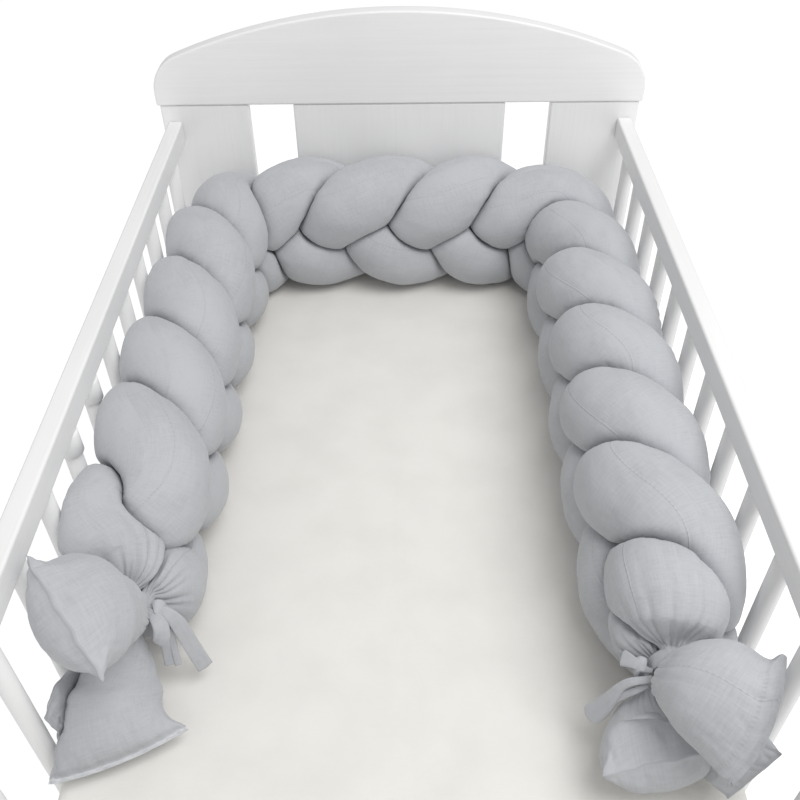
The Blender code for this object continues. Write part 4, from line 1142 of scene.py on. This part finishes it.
# Free ends. Each row: side, how the cloth is held, thickness and length of the rounded end, then at
# each point of its middle: x, y and height above the mattress, direction of its width, and width.
FREE_ENDS = {
    "tie_left_long_end": ("left", "hung", 0.0026, SQUARE_END, (
        (-0.2292, -0.1417, 0.1010, 0.05, -0.82, -0.57, 0.0070),
        (-0.2201, -0.1432, 0.1040, -0.15, -0.84, -0.52, 0.0080),
        (-0.2096, -0.1467, 0.1035, -0.52, -0.77, -0.36, 0.0110),
        (-0.2022, -0.1480, 0.0880, -0.76, -0.63, -0.19, 0.0145),
        (-0.1968, -0.1490, 0.0600, -0.81, -0.58, -0.14, 0.0150),
        (-0.1910, -0.1512, 0.0360, -0.80, -0.59, -0.15, 0.0152),
        (-0.1866, -0.1528, 0.0200, -0.79, -0.60, -0.16, 0.0156))),
    "tie_left_loop": ("left", "folded", 0.0060, 0.0060, (
        (-0.2279, -0.1457, 0.1030, -0.54, -0.77, -0.34, 0.0070),
        (-0.2192, -0.1522, 0.1040, -0.70, -0.68, -0.22, 0.0110),
        (-0.2140, -0.1580, 0.0970, -0.89, -0.45, -0.01, 0.0145),
        (-0.2143, -0.1619, 0.0870, -0.96, -0.03, 0.28, 0.0150),
        (-0.2194, -0.1629, 0.0780, -0.84, 0.29, 0.45, 0.0130))),
    "tie_left_short_end": ("left", "hung", 0.0040, SQUARE_END, (
        (-0.2176, -0.1513, 0.0900, -0.87, -0.49, -0.04, 0.0080),
        (-0.2156, -0.1536, 0.0740, -0.90, -0.44, 0.00, 0.0115),
        (-0.2156, -0.1553, 0.0550, -0.93, -0.36, 0.06, 0.0120),
        (-0.2162, -0.1585, 0.0360, -0.94, -0.33, 0.08, 0.0120))),
    "tie_left_short_fold": ("left", "folded", 0.0034, SQUARE_END, (
        (-0.2107, -0.1506, 0.0840, -0.92, -0.40, 0.02, 0.0055),
        (-0.2103, -0.1525, 0.0640, -0.92, -0.38, 0.04, 0.0065),
        (-0.2100, -0.1557, 0.0470, -0.93, -0.37, 0.04, 0.0065),
        (-0.2096, -0.1578, 0.0340, -0.92, -0.39, 0.03, 0.0065))),
    "tie_right_long_end": ("right", "hung", 0.0050, 0.0070, (
        (0.2110, -0.2157, 0.1040, -0.15, 0.88, 0.46, 0.0060),
        (0.2032, -0.2170, 0.1040, -0.09, 0.87, 0.48, 0.0065),
        (0.1945, -0.2163, 0.1020, -0.22, 0.87, 0.44, 0.0070),
        (0.1871, -0.2151, 0.0920, -0.58, 0.77, 0.28, 0.0080),
        (0.1812, -0.2175, 0.0780, -0.68, 0.70, 0.22, 0.0120),
        (0.1743, -0.2178, 0.0600, -0.61, 0.75, 0.26, 0.0175),
        (0.1681, -0.2175, 0.0480, -0.53, 0.79, 0.30, 0.0185),
        (0.1648, -0.2176, 0.0430, -0.51, 0.80, 0.31, 0.0150))),
    "tie_right_under_strand": ("right", "folded", 0.0045, 0.0040, (
        (0.2083, -0.2177, 0.0980, -0.38, 0.85, 0.37, 0.0050),
        (0.1993, -0.2200, 0.0940, -0.35, 0.86, 0.38, 0.0060),
        (0.1915, -0.2192, 0.0860, -0.36, 0.85, 0.38, 0.0065),
        (0.1845, -0.2188, 0.0770, -0.47, 0.82, 0.33, 0.0065),
        (0.1799, -0.2185, 0.0680, -0.53, 0.79, 0.30, 0.0050))),
    "tie_right_short_end": ("right", "folded", 0.0035, 0.0020, (
        (0.2123, -0.2088, 0.1050, 0.27, 0.79, 0.55, 0.0040),
        (0.2046, -0.2076, 0.1070, 0.41, 0.73, 0.55, 0.0060),
        (0.1986, -0.2012, 0.1050, 0.49, 0.68, 0.55, 0.0100),
        (0.1941, -0.1960, 0.1020, 0.40, 0.73, 0.55, 0.0130),
        (0.1906, -0.1922, 0.0990, 0.34, 0.76, 0.55, 0.0145))),
}
for free_name, (free_side, free_held, free_thick, free_round, free_rows) in FREE_ENDS.items():
    free_table = np.array(free_rows)
    tie_piece(free_name, free_side, free_table[:, :3], free_table[:, 3:6],
              free_table[:, 6], free_thick, free_round)

# The knots: a short turn of the strip, bent round on the side of the neck that faces the crib's
# middle. Each: where its middle lies, above the mattress, and to which side it bulges.
KNOTS = {"left": ((-0.219, -0.144, 0.100), 1), "right": ((0.205, -0.204, 0.100), -1)}
KNOT_TURN = 1.35 * np.pi
KNOT_STEPS = 30
KNOT_BULGE = 0.0045
KNOT_SWAY = 0.0010
KNOT_HALF = 0.0075
KNOT_WIDE = 0.0135
KNOT_THICK = 0.0042
knot_angle = np.linspace(-KNOT_TURN / 2, KNOT_TURN / 2, KNOT_STEPS)
for knot_side, ((kx, ky, kz), knot_sign) in KNOTS.items():
    knot_points = np.stack([kx + knot_sign * KNOT_BULGE * np.cos(knot_angle),
                            ky + KNOT_SWAY * np.sin(knot_angle * 2),
                            kz + KNOT_HALF * np.sin(knot_angle)], 1)
    tie_piece(f"tie_{knot_side}_knot", knot_side, knot_points,
              np.tile((0.1, 1.0, 0.2), (KNOT_STEPS, 1)), np.full(KNOT_STEPS, KNOT_WIDE), KNOT_THICK)

# ---------------------------------------------------------------- Floor and light
# A plain pale studio floor, a wide soft light above the right-hand side, a weaker one past the
# foot end, and an even white surround that fills the shadows.
FLOOR_HALF = 6.0
FLOOR_LEVEL = -0.0005
FLOOR_SHADES = (0.86, 0.86, 0.86, 1.0), (0.90, 0.90, 0.90, 1.0)
floor_finish, floor_tree, floor_shader = shader_nodes("studio_floor")
floor_place = floor_tree.nodes.new("ShaderNodeTexCoord").outputs["Object"]
floor_colour = colour_between(floor_tree, noise(floor_tree, floor_place, 0.8, 2.0), *FLOOR_SHADES)
link(floor_tree, floor_colour, floor_shader.inputs["Base Color"])
floor_shader.inputs["Roughness"].default_value = 0.8
floor_shader.inputs["Emission Color"].default_value = (1.0, 1.0, 1.0, 1.0)
floor_shader.inputs["Emission Strength"].default_value = 0.50
floor_corners = [(x * FLOOR_HALF, y * FLOOR_HALF, FLOOR_LEVEL)
                 for x, y in ((-1, -1), (1, -1), (1, 1), (-1, 1))]
floor = mesh_piece("studio_floor", floor_corners, [(0, 1, 2, 3)], floor_finish, smooth=False)


def soft_light(name, place, aim, size, power):
    """A square area light that faces a point."""
    data = bpy.data.lights.new(name, "AREA")
    data.shape = "SQUARE"
    data.size = size
    data.energy = power
    lamp = bpy.data.objects.new(name, data)
    lamp.location = place
    lamp.rotation_euler = (Vector(aim) - Vector(place)).to_track_quat("-Z", "Y").to_euler()
    bpy.context.scene.collection.objects.link(lamp)


soft_light("key_right", (0.7, -0.4, 2.6), (0.0, 0.2, 0.7), 1.3, 27.0)
soft_light("fill_foot", (0.2, -2.4, 2.2), (0.0, 0.5, 0.8), 2.0, 6.0)
world = bpy.data.worlds.new("studio")
bpy.context.scene.world = world
world.use_nodes = True
world.node_tree.nodes["Background"].inputs["Color"].default_value = (1.0, 1.0, 1.0, 1.0)
world.node_tree.nodes["Background"].inputs["Strength"].default_value = 0.55
bpy.context.scene.view_settings.view_transform = "Standard"
